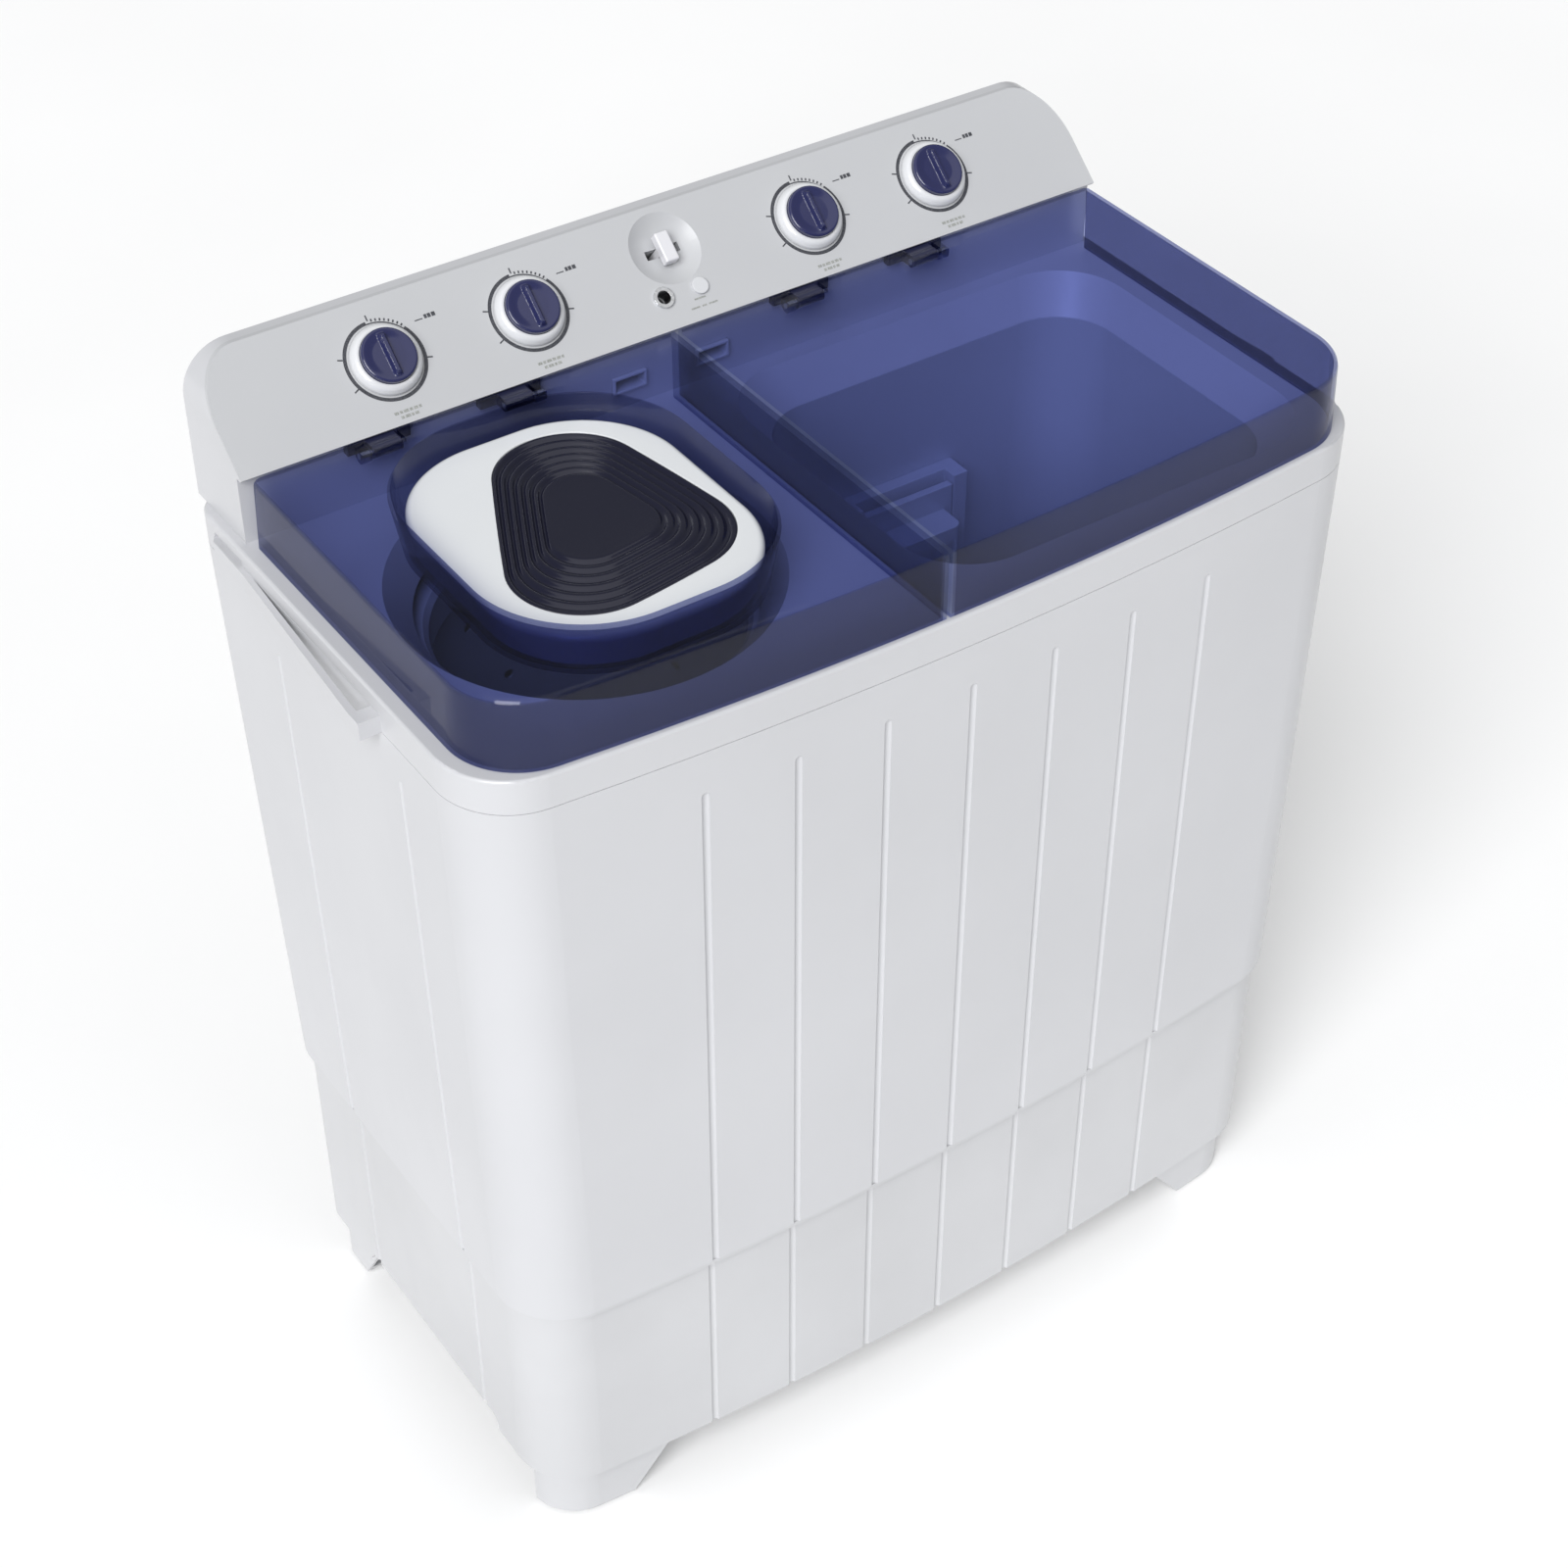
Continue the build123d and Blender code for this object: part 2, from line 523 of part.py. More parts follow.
with BuildPart() as gearbox_housing:
    # long bearing housing that carries the pulsator shaft under the tub
    add(turned(WASH_X, TUB_Y, 0,
               [(SHAFT_R + FIT, 262), (22, 262), (26, 270), (30, 300), (30, 321), (44, 321),
                (44, WASH_FLOOR_Z - 8), (19.8, WASH_FLOOR_Z - 8), (19.8, WASH_FLOOR_Z - 2),
                (SHAFT_R + FIT, WASH_FLOOR_Z - 2)]))
    with Locations((WASH_X, TUB_Y, 300)):
        with PolarLocations(28, 6):
            Box(24, 4, 42)
    add(turned(WASH_X, TUB_Y, 0, [(0, 250), (SHAFT_R + FIT, 250), (SHAFT_R + FIT, 340), (0, 340)]),
        mode=Mode.SUBTRACT)
save(gearbox_housing.part, "gearbox_housing")

with BuildPart() as pulsator_seal:
    add(turned(WASH_X, TUB_Y, WASH_FLOOR_Z - 2,
               [(SHAFT_R + FIT, 0), (14, 0), (14, 3), (10, 3), (8, 4.6), (SHAFT_R + FIT, 4.6)]))
save(pulsator_seal.part, "pulsator_seal")

TRAY_TOP_Z = TRAY_Z + 4
MOTOR_FOOT_Z = 112.0
with BuildPart() as wash_motor:
    # pressed steel shell round the windings, with three feet
    add(turned(MOTOR_X, MOTOR_Y, 0,
               [(20, MOTOR_FOOT_Z - 6), (26, MOTOR_FOOT_Z - 6), (30, MOTOR_FOOT_Z),
                (MOTOR_R, MOTOR_FOOT_Z), (MOTOR_R, 140), (MOTOR_R - 4, 142), (MOTOR_R - 4, 188),
                (MOTOR_R, 190), (MOTOR_R, 214), (MOTOR_R - 8, 222), (26, 222), (22, 230),
                (0, 230), (0, MOTOR_FOOT_Z - 6)]))
    add(turned(MOTOR_X, MOTOR_Y, 0,
               [(0, 116), (MOTOR_R - 7, 116), (MOTOR_R - 7, 142), (36, 142), (36, 188),
                (MOTOR_R - 7, 188), (MOTOR_R - 7, 212), (MOTOR_R - 12, 218), (0, 218)]),
        mode=Mode.SUBTRACT)
    with Locations((MOTOR_X, MOTOR_Y, MOTOR_FOOT_Z)):
        with PolarLocations(MOTOR_R + 4, 3, start_angle=90):
            Box(24, 26, 4, align=(Align.CENTER, Align.CENTER, Align.MIN))
    add(turned(MOTOR_X, MOTOR_Y, 0,
               [(0, 90), (MOTOR_SHAFT_R + FIT, 90), (MOTOR_SHAFT_R + FIT, 240), (0, 240)]),
        mode=Mode.SUBTRACT)
save(wash_motor.part, "wash_motor")

with BuildPart() as wash_motor_rotor:
    add(turned(MOTOR_X, MOTOR_Y, 0,
               [(0, 102), (MOTOR_SHAFT_R, 102), (MOTOR_SHAFT_R, 144), (28, 144), (28, 132),
                (35.3, 132), (35.3, 200), (28, 200), (28, 188), (MOTOR_SHAFT_R, 188),
                (MOTOR_SHAFT_R, PULLEY_Z + 9), (0, PULLEY_Z + 9)]))
save(wash_motor_rotor.part, "wash_motor_rotor")

with BuildPart() as wash_motor_buffers:
    with Locations((MOTOR_X, MOTOR_Y, TRAY_TOP_Z)):
        with PolarLocations(MOTOR_R + 6, 3, start_angle=90):
            Cylinder(9, MOTOR_FOOT_Z - TRAY_TOP_Z, align=(Align.CENTER, Align.CENTER, Align.MIN))
save(wash_motor_buffers.part, "wash_motor_buffers")

# ================================================================ spin tub and its drive
SPIN_SHAFT_R = 9.5
SPIN_DRAIN = (SPIN_X + 100, TUB_Y + 90)
BRAKE_PIVOT = (SPIN_X + 84, TUB_Y - 34)
BRAKE_PIN_R = 3.0
with BuildPart() as spin_outer_tub:
    add(turned(SPIN_X, TUB_Y, 0,
               [(30, SPIN_TUB_FLOOR_Z), (SPIN_TUB_R - 10, SPIN_TUB_FLOOR_Z),
                (SPIN_TUB_R, SPIN_TUB_FLOOR_Z + 10), (SPIN_TUB_R, SPIN_THROAT_Z - 0.2),
                (SPIN_TUB_R - SKIN, SPIN_THROAT_Z - 0.2),
                (SPIN_TUB_R - SKIN, SPIN_TUB_FLOOR_Z + 11),
                (SPIN_TUB_R - 11, SPIN_TUB_FLOOR_Z + 3), (30, SPIN_TUB_FLOOR_Z + 3)]))
    with Locations((*BRAKE_PIVOT, 262)):
        Cylinder(8, SPIN_TUB_FLOOR_Z + 1 - 262, align=(Align.CENTER, Align.CENTER, Align.MIN))
        Cylinder(BRAKE_PIN_R + FIT, 22, align=(Align.CENTER, Align.CENTER, Align.MIN),
                 mode=Mode.SUBTRACT)
    with Locations((*SPIN_DRAIN, SPIN_TUB_FLOOR_Z - 1)):
        Cylinder(9, 6, align=(Align.CENTER, Align.CENTER, Align.MIN), mode=Mode.SUBTRACT)
save(spin_outer_tub.part, "spin_outer_tub")

with BuildPart() as spin_boot:
    # ribbed rubber boot that seals the tub floor to the spinning shaft
    add(turned(SPIN_X, TUB_Y, 0,
               [(SPIN_SHAFT_R + FIT, 260), (14.5, 260), (14.5, 267), (25, 271), (17, 276),
                (29, 280), (20, 285), (40, 288), (40, 292), (12.5, 292), (12.5, 264),
                (SPIN_SHAFT_R + FIT, 264)]))
save(spin_boot.part, "spin_boot")

with BuildPart() as spin_shaft:
    # shaft with the brake drum forged on
    add(turned(SPIN_X, TUB_Y, 0,
               [(0, 100), (SPIN_SHAFT_R, 100), (SPIN_SHAFT_R, 234), (46, 234), (48, 236),
                (48, 252), (44, 252), (44, 239), (14, 239), (14, 252), (SPIN_SHAFT_R, 252),
                (SPIN_SHAFT_R, BASKET_FLOOR_Z - 6), (22, BASKET_FLOOR_Z - 6),
                (22, BASKET_FLOOR_Z), (8, BASKET_FLOOR_Z), (8, BASKET_FLOOR_Z + 22),
                (0, BASKET_FLOOR_Z + 22)]))
save(spin_shaft.part, "spin_shaft")

with BuildPart() as spin_basket:
    add(turned(SPIN_X, TUB_Y, 0,
               [(8, BASKET_FLOOR_Z), (BASKET_R - 14, BASKET_FLOOR_Z),
                (BASKET_R - 4, BASKET_FLOOR_Z + 8), (BASKET_R, BASKET_TOP_Z - 14),
                (BASKET_R - 2, BASKET_TOP_Z - 14), (BASKET_R - 6, BASKET_FLOOR_Z + 10),
                (BASKET_R - 16, BASKET_FLOOR_Z + 2.5), (40, BASKET_FLOOR_Z + 2.5),
                (26, BASKET_FLOOR_Z + 20), (8, BASKET_FLOOR_Z + 20)]))
    # drain holes in rows up the wall
    for row in range(6):
        with Locations((SPIN_X, TUB_Y, BASKET_FLOOR_Z + 60 + 62 * row)):
            with PolarLocations(BASKET_R - 4, 12, start_angle=15 * (row % 2)):
                Cylinder(4, 20, rotation=(0, 90, 0), mode=Mode.SUBTRACT)
save(spin_basket.part, "spin_basket")

with BuildPart() as balance_ring:
    add(turned(SPIN_X, TUB_Y, 0,
               [(BASKET_R - 18, BASKET_TOP_Z - 14), (BASKET_R + 3, BASKET_TOP_Z - 14),
                (BASKET_R + 3, BASKET_TOP_Z + 14), (BASKET_R - 2, BASKET_TOP_Z + 18),
                (BASKET_R - 14, BASKET_TOP_Z + 18), (BASKET_R - 18, BASKET_TOP_Z + 13)]))
save(balance_ring.part, "balance_ring")

SPIN_MOTOR_R = 66.0
with BuildPart() as spin_motor:
    add(turned(SPIN_X, TUB_Y, 0,
               [(24, 108), (30, 108), (34, 124), (SPIN_MOTOR_R, 124), (SPIN_MOTOR_R, 148),
                (SPIN_MOTOR_R - 4, 150), (SPIN_MOTOR_R - 4, 192), (SPIN_MOTOR_R, 194),
                (SPIN_MOTOR_R, 212), (SPIN_MOTOR_R - 8, 220), (30, 220), (26, 228), (0, 228),
                (0, 108)]))
    add(turned(SPIN_X, TUB_Y, 0,
               [(0, 128), (SPIN_MOTOR_R - 8, 128), (SPIN_MOTOR_R - 8, 150), (40, 150), (40, 192),
                (SPIN_MOTOR_R - 8, 192), (SPIN_MOTOR_R - 8, 210), (SPIN_MOTOR_R - 13, 216), (0, 216)]),
        mode=Mode.SUBTRACT)
    with Locations((SPIN_X, TUB_Y, 124)):
        with PolarLocations(SPIN_MOTOR_R + 6, 3, start_angle=30):
            Box(32, 30, 4, align=(Align.CENTER, Align.CENTER, Align.MIN))
    add(turned(SPIN_X, TUB_Y, 0,
               [(0, 90), (SPIN_SHAFT_R + FIT, 90), (SPIN_SHAFT_R + FIT, 240), (0, 240)]),
        mode=Mode.SUBTRACT)
save(spin_motor.part, "spin_motor")

with BuildPart() as spin_motor_rotor:
    add(turned(SPIN_X, TUB_Y, 0,
               [(SPIN_SHAFT_R, 148), (31, 148), (31, 136), (39.3, 136), (39.3, 202), (31, 202),
                (31, 190), (SPIN_SHAFT_R, 190)]))
save(spin_motor_rotor.part, "spin_motor_rotor")

WIRE_R = 1.6
SPRING_R = 10.0
SPRING_H = 124.0 - TRAY_TOP_Z - 2 * WIRE_R
with BuildPart() as one_spring:
    with BuildLine() as coil:
        Helix(SPRING_H / 4, SPRING_H, SPRING_R)
    with BuildSketch(coil.line ^ 0):
        RegularPolygon(WIRE_R, 8)
    sweep(is_frenet=True)
with BuildPart() as motor_springs:
    with Locations((SPIN_X, TUB_Y, TRAY_TOP_Z + WIRE_R)):
        with PolarLocations(SPIN_MOTOR_R + 9, 3, start_angle=30):
            add(one_spring.part)
save(motor_springs.part, "motor_springs")

DRUM_R = 48.0
SHOE_GAP = 3.4
with BuildPart() as brake_lever:
    # shoe that closes on the drum when the spin lid opens, on an arm with its pivot pin
    with BuildSketch(Plane.XY.offset(238)):
        with Locations((SPIN_X, TUB_Y)):
            Circle(DRUM_R + SHOE_GAP + 6)
            Circle(DRUM_R + SHOE_GAP, mode=Mode.SUBTRACT)
        with Locations((SPIN_X + 60, TUB_Y + 12)):
            Rectangle(44, 66, mode=Mode.INTERSECT)
    extrude(amount=12)
    with BuildSketch(Plane.XY.offset(253)):
        with Locations(BRAKE_PIVOT):
            Circle(9)
        with Locations((SPIN_X + 54, TUB_Y + 8)):
            Circle(6)
        make_hull()
        with Locations(BRAKE_PIVOT):
            Rectangle(9, 56)
    extrude(amount=3)
    with Locations((SPIN_X + 55.2, TUB_Y + 8, 250)):
        Cylinder(3, 4, align=(Align.CENTER, Align.CENTER, Align.MIN))
    with Locations((*BRAKE_PIVOT, 256)):
        Cylinder(BRAKE_PIN_R, 26, align=(Align.CENTER, Align.CENTER, Align.MIN))
save(brake_lever.part, "brake_lever")

# ================================================================ drain
VALVE = (236.0, 168.0)
VALVE_Z = (284.0, 324.0)
ROD_R = 2.5
PIPE_R = 12.4
PIPE_BORE = 10.5
SPIGOT_COLLAR = 2.5
SPIGOT_END = BACK - 1.5
TUB_DRAIN = (WASH_X + 51, TUB_Y + 84)


def pipe_run(points, radius):
    """Straight round runs joined by ball elbows."""
    with BuildPart() as run:
        for start, end in zip(points, points[1:]):
            direction = Vector(*end) - Vector(*start)
            with BuildSketch(Plane(origin=start, z_dir=direction)):
                Circle(radius)
            extrude(amount=direction.length)
        for corner in points[1:-1]:
            with Locations(corner):
                Sphere(radius)
    return run.part


with BuildPart() as drain_valve_body:
    with Locations((*VALVE, VALVE_Z[0])):
        Cylinder(22, VALVE_Z[1] - VALVE_Z[0], align=(Align.CENTER, Align.CENTER, Align.MIN))
    inlet_route = [(*TUB_DRAIN, WASH_FLOOR_Z - SKIN - 0.1), (*TUB_DRAIN, 306), (VALVE[0], VALVE[1], 306)]
    add(pipe_run(inlet_route, 15))
    with Locations((*VALVE, VALVE_Z[0] + 4)):
        Cylinder(18, VALVE_Z[1] - VALVE_Z[0] - 7, align=(Align.CENTER, Align.CENTER, Align.MIN),
                 mode=Mode.SUBTRACT)
    add(pipe_run([(*TUB_DRAIN, WASH_FLOOR_Z), *inlet_route[1:]], 12.5), mode=Mode.SUBTRACT)
    with Locations((*VALVE, VALVE_Z[0] - 1)):
        Cylinder(PIPE_BORE, 8, align=(Align.CENTER, Align.CENTER, Align.MIN), mode=Mode.SUBTRACT)
        Cylinder(ROD_R + FIT, 60, align=(Align.CENTER, Align.CENTER, Align.MIN), mode=Mode.SUBTRACT)
save(drain_valve_body.part, "drain_valve_body")

ROD_TOP_Z = 858.0
with BuildPart() as drain_plunger:
    # rubber-faced plunger with the long pull rod that rises to the console
    add(turned(*VALVE, 0,
               [(0, VALVE_Z[0] + 4.3), (13, VALVE_Z[0] + 4.3), (14.5, VALVE_Z[0] + 7),
                (14.5, VALVE_Z[0] + 11), (ROD_R, VALVE_Z[0] + 14), (ROD_R, ROD_TOP_Z), (0, ROD_TOP_Z)]))
    with Locations((*VALVE, ROD_TOP_Z)):
        Cylinder(5, 3, align=(Align.CENTER, Align.CENTER, Align.MIN))
save(drain_plunger.part, "drain_plunger")

with BuildPart() as drain_pipe:
    # moulded manifold from both tubs to the spigot at the back
    main_route = [(*VALVE, VALVE_Z[0]), (*VALVE, OUTLET[1]), (OUTLET[0], VALVE[1], OUTLET[1]),
                  (OUTLET[0], BASE_BACK + 1, OUTLET[1])]
    spin_route = [(*SPIN_DRAIN, SPIN_TUB_FLOOR_Z), (*SPIN_DRAIN, 266),
                  (SPIN_DRAIN[0], VALVE[1], 266), (*VALVE, 266)]
    add(pipe_run(main_route, PIPE_R))
    add(pipe_run(spin_route, 11))
    # collar against the back of the base, and the plain spigot for the hose
    with Locations(Location((OUTLET[0], BASE_BACK + GAP, OUTLET[1]), (-90, 0, 0))):
        Cylinder(OUTLET_R + 4, SPIGOT_COLLAR, align=(Align.CENTER, Align.CENTER, Align.MIN))
        Cylinder(OUTLET_R, SPIGOT_END - BASE_BACK - GAP, align=(Align.CENTER, Align.CENTER, Align.MIN))
    chamfer(drain_pipe.edges().group_by(Axis.Y)[-1], 1)
    add(pipe_run([(*VALVE, VALVE_Z[0] + 2), *main_route[1:-1], (OUTLET[0], BACK + 2, OUTLET[1])],
                 PIPE_BORE), mode=Mode.SUBTRACT)
    add(pipe_run([(*SPIN_DRAIN, SPIN_TUB_FLOOR_Z + 2), *spin_route[1:]], 9), mode=Mode.SUBTRACT)
save(drain_pipe.part, "drain_pipe")

with BuildPart() as capacitor:
    add(turned(40, 96, TRAY_TOP_Z, [(0, 0), (23, 0), (24, 2), (24, 78), (21, 82), (0, 82)]))
    with Locations((34, 96, TRAY_TOP_Z + 82), (46, 96, TRAY_TOP_Z + 82)):
        Box(6, 0.8, 9, align=(Align.CENTER, Align.CENTER, Align.MIN))
save(capacitor.part, "capacitor")

with BuildPart() as cord_gland:
    # grommet for the mains lead, snapped into the back wall of the base
    with BuildSketch(Plane.XZ.offset(-BASE_BACK)):
        with Locations((CORD_X, CORD_Z)):
            Circle(12)
    extrude(amount=-3)
    with BuildSketch(Plane.XZ.offset(-BASE_BACK)):
        with Locations((CORD_X, CORD_Z)):
            Circle(9)
    extrude(amount=WALL + 8)
    with BuildSketch(Plane.XZ.offset(-BASE_BACK - 3)):
        with Locations((CORD_X, CORD_Z)):
            Circle(8)
    extrude(amount=-14, taper=8)
    with BuildSketch(Plane.XZ.offset(-BASE_BACK - 25)):
        with Locations((CORD_X, CORD_Z)):
            Circle(CORD_BORE)
    extrude(amount=60, mode=Mode.SUBTRACT)
save(cord_gland.part, "cord_gland")

# ================================================================ console


def console_block(profile, half, corner, x=0.0):
    """Solid along X with the given (y, z) section, its two upper ends rounded in front view."""
    with BuildPart() as block:
        with BuildSketch(Plane.YZ.offset(x - half)):
            with BuildLine():
                Polyline(*profile, close=True)
            make_face()
        extrude(amount=2 * half)
        with BuildSketch(Plane.XZ.offset(-BACK - 10)) as face_outline:
            with BuildLine():
                Polyline((x - half, 780), (x + half, 780), (x + half, HEIGHT - CONSOLE_HALF + half),
                         (x - half, HEIGHT - CONSOLE_HALF + half), close=True)
            make_face()
            fillet(face_outline.vertices().group_by(Axis.Y)[-1], corner)
        extrude(amount=DEPTH, mode=Mode.INTERSECT)
    return block.part


slope = radians(FACE_ANGLE)


def slope_y(depth, z):
    """Y of the plane that lies depth under the sloping face, at height z."""
    return FACE_Y + depth / sin(slope) + (z - LID_TOP) / tan(slope)


def on_face(x, s, h=0.0):
    """Place on the sloping face: x across, s up the slope, h out of the face."""
    return FACE.location * Location((x, s, h))


lip_z = LID_TOP - PANEL_T * cos(slope)
lip_y = slope_y(PANEL_T, lip_z)
inner_lip_z = LID_TOP + (RISER_Y + CONSOLE_WALL - slope_y(PANEL_T + CONSOLE_WALL, LID_TOP)) * tan(slope)
roof_z = HEIGHT - CONSOLE_WALL
DISH_S = 63.0
DISH_R = 30.0
DISH_DEPTH = 8.0
DISH_SPHERE = (DISH_R ** 2 + DISH_DEPTH ** 2) / (2 * DISH_DEPTH)
PORTS = ((-20.0, 26.0), (13.0, 26.0))      # x and s of the two inlet ports
PORT_TUBE_R = 6.8
SPOUT_X = (15.0, -61.0)
SPOUT_Z = 845.0
BACK_SCREW_X = (-300, -70, 70, 300)
COVER_Y = BACK - 4.0       # inner face of the console's back cover

with BuildPart() as console_housing:
    add(console_block([(RISER_Y, DECK_Z), (RISER_Y, lip_z), (lip_y, lip_z),
                       (slope_y(PANEL_T, HEIGHT), HEIGHT), (BACK, HEIGHT), (BACK, DECK_Z)],
                      CONSOLE_HALF, CONSOLE_CORNER))
    add(console_block([(RISER_Y + CONSOLE_WALL, DECK_Z - 5), (RISER_Y + CONSOLE_WALL, inner_lip_z),
                       (slope_y(PANEL_T + CONSOLE_WALL, roof_z), roof_z),
                       (BACK + 5, roof_z), (BACK + 5, DECK_Z - 5)],
                      CONSOLE_HALF - CONSOLE_WALL, CONSOLE_CORNER - CONSOLE_WALL),
        mode=Mode.SUBTRACT)
    # ribs that take the screws of the back cover
    for x in BACK_SCREW_X:
        with Locations((x, COVER_Y, roof_z)):
            Box(12, 5.5, 18, align=(Align.CENTER, Align.MAX, Align.MAX))
        with Locations(Location((x, BACK, roof_z - 10), (90, 0, 0))):
            Cylinder(1.9, 30, mode=Mode.SUBTRACT)
    # holes for the knob stems, the inlet dish, the ports and the two water spouts
    for x in KNOB_X:
        with Locations(on_face(x, KNOB_S)):
            Cylinder(9.3, 20, mode=Mode.SUBTRACT)
    with Locations(on_face(0, DISH_S)):
        Cylinder(DISH_R + 1.8, 20, mode=Mode.SUBTRACT)
    for x, s in PORTS:
        with Locations(on_face(x, s)):
            Cylinder(PORT_TUBE_R, 20, mode=Mode.SUBTRACT)
    for x in SPOUT_X:
        with Locations((x, RISER_Y, SPOUT_Z)):
            Box(31, 12, 15, mode=Mode.SUBTRACT)
save(console_housing.part, "console_housing")

LEVER_TRAVEL = 10.0
with BuildPart() as control_panel:
    # thin face plate with the shallow dish of the water selector pressed into it
    add(console_block([(FACE_Y, LID_TOP), (FACE_TOP_Y, HEIGHT),
                       (slope_y(PANEL_T, HEIGHT), HEIGHT), (lip_y, lip_z)],
                      CONSOLE_HALF, CONSOLE_CORNER))
    with Locations(on_face(0, DISH_S, -1)):
        Cylinder(DISH_R + 1.5, 10.5, align=(Align.CENTER, Align.CENTER, Align.MAX))
    with Locations(on_face(0, DISH_S, DISH_SPHERE - DISH_DEPTH)):
        Sphere(DISH_SPHERE, mode=Mode.SUBTRACT)
    with Locations(on_face(0, DISH_S)):
        Box(2 * LEVER_TRAVEL + 10, 7.5, 40, mode=Mode.SUBTRACT)
    for x in KNOB_X:
        with Locations(on_face(x, KNOB_S)):
            Cylinder(4, 20, mode=Mode.SUBTRACT)
    for x, s in PORTS:
        with Locations(on_face(x, s)):
            Cylinder(PORT_TUBE_R, 20, mode=Mode.SUBTRACT)
save(control_panel.part, "control_panel")

with BuildPart() as console_back_cover:
    with BuildSketch(Plane.XZ.offset(-COVER_Y)) as back_plate:
        with BuildLine():
            Polyline((-CONSOLE_HALF + 3.4, DECK_Z + 0.4), (CONSOLE_HALF - 3.4, DECK_Z + 0.4),
                     (CONSOLE_HALF - 3.4, roof_z - 0.4), (-CONSOLE_HALF + 3.4, roof_z - 0.4),
                     close=True)
        make_face()
        fillet(back_plate.vertices().group_by(Axis.Y)[-1], CONSOLE_CORNER - CONSOLE_WALL)
        with Locations([(x, roof_z - 10) for x in BACK_SCREW_X]):
            Circle(2, mode=Mode.SUBTRACT)
    extrude(amount=-2.5)
save(console_back_cover.part, "console_back_cover")

STEM_LOW = -28.0
TIMER_SIZES = (
    ("wash_timer", KNOB_X[2], 50.0, 44.0, 30.0),
    ("spin_timer", KNOB_X[0], 50.0, 44.0, 30.0),
    ("wash_selector_switch", KNOB_X[1], 38.0, 32.0, 24.0),
    ("drain_cam_box", KNOB_X[3], 36.0, 32.0, 24.0),
)
for name, x, width, height, depth in TIMER_SIZES:
    with BuildPart() as switch:
        with Locations(on_face(x, KNOB_S, -8.5)):
            Box(width, height, depth, align=(Align.CENTER, Align.CENTER, Align.MAX))
            Cylinder(9, 8.5 - PANEL_T, align=(Align.CENTER, Align.CENTER, Align.MIN))
        with Locations(on_face(x, KNOB_S, STEM_LOW - 1)):
            Cylinder(STEM_R + FIT, 40, align=(Align.CENTER, Align.CENTER, Align.MIN),
                     mode=Mode.SUBTRACT)
        # terminals on the back
        for offset in (-8, 0, 8):
            with Locations(on_face(x + offset, KNOB_S - 8, -8.5 - depth)):
                Box(5, 0.8, 7, align=(Align.CENTER, Align.CENTER, Align.MAX))
    save(switch.part, name)

KNOBS = (
    ("wash_timer", KNOB_X[2]),
    ("spin_timer", KNOB_X[0]),
    ("wash_selector", KNOB_X[1]),
    ("drain_selector", KNOB_X[3]),
)
for name, x in KNOBS:
    with BuildPart() as skirt:
        # white collar with a countersunk top and the stem that enters the switch
        with Locations(on_face(x, KNOB_S, 0.6)):
            Cone(KNOB_R, KNOB_R - 2.5, 8, align=(Align.CENTER, Align.CENTER, Align.MIN))
        with Locations(on_face(x, KNOB_S, 4.6)):
            Cylinder(CAP_R, 10, align=(Align.CENTER, Align.CENTER, Align.MIN), mode=Mode.SUBTRACT)
        with Locations(on_face(x, KNOB_S, STEM_LOW)):
            Cylinder(STEM_R, 30, align=(Align.CENTER, Align.CENTER, Align.MIN))
    save(skirt.part, name + "_skirt")
    with BuildPart() as cap:
        with Locations(on_face(x, KNOB_S, 4.6)):
            Cone(CAP_R, CAP_R - 1.5, 8.4, align=(Align.CENTER, Align.CENTER, Align.MIN))
        with Locations(on_face(x, KNOB_S, 12)):
            Box(8, 2 * CAP_R - 6, 5.5, align=(Align.CENTER, Align.CENTER, Align.MIN))
    save(cap.part, name + "_cap")

with BuildPart() as inlet_box:
    # diverter box under the dish, with one spout to each tub
    with Locations(on_face(-17, 40, -12)):
        Box(122, 60, 26, align=(Align.CENTER, Align.CENTER, Align.MAX))
    with Locations(on_face(0, DISH_S, -13)):
        Box(2 * LEVER_TRAVEL + 10, 7.5, 10, mode=Mode.SUBTRACT)
    with Locations(on_face(*PORTS[0], -13)):
        Cylinder(5.5, 10, mode=Mode.SUBTRACT)
    for x in SPOUT_X:
        with Locations((x, RISER_Y - 3, SPOUT_Z)):
            Box(30, 26, 14, align=(Align.CENTER, Align.MIN, Align.CENTER))
        with Locations((x, RISER_Y + 16, SPOUT_Z)):
            Box(30, 14, 24, align=(Align.CENTER, Align.MIN, Align.MIN))
        with Locations((x, RISER_Y - 4, SPOUT_Z)):
            Box(26, 25, 10, align=(Align.CENTER, Align.MIN, Align.CENTER), mode=Mode.SUBTRACT)
        with Locations((x, RISER_Y + 18, SPOUT_Z - 2)):
            Box(26, 8, 36, align=(Align.CENTER, Align.MIN, Align.MIN), mode=Mode.SUBTRACT)
    with Locations(on_face(-17, 40, -14.5)):
        Box(117, 55, 21, align=(Align.CENTER, Align.CENTER, Align.MAX), mode=Mode.SUBTRACT)
    # the right-hand port is a blind stub of the same moulding
    with Locations(on_face(*PORTS[1], -12)):
        Cylinder(PORT_TUBE_R, 14.4, align=(Align.CENTER, Align.CENTER, Align.MIN))
save(inlet_box.part, "inlet_box")

with BuildPart() as inlet_port_ring:
    with Locations(on_face(*PORTS[0])):
        Cylinder(8.6, 2, align=(Align.CENTER, Align.CENTER, Align.MIN))
        Cylinder(PORT_TUBE_R, 11.9, align=(Align.CENTER, Align.CENTER, Align.MAX))
        Cylinder(5.5, 40, mode=Mode.SUBTRACT)
save(inlet_port_ring.part, "inlet_port_ring")

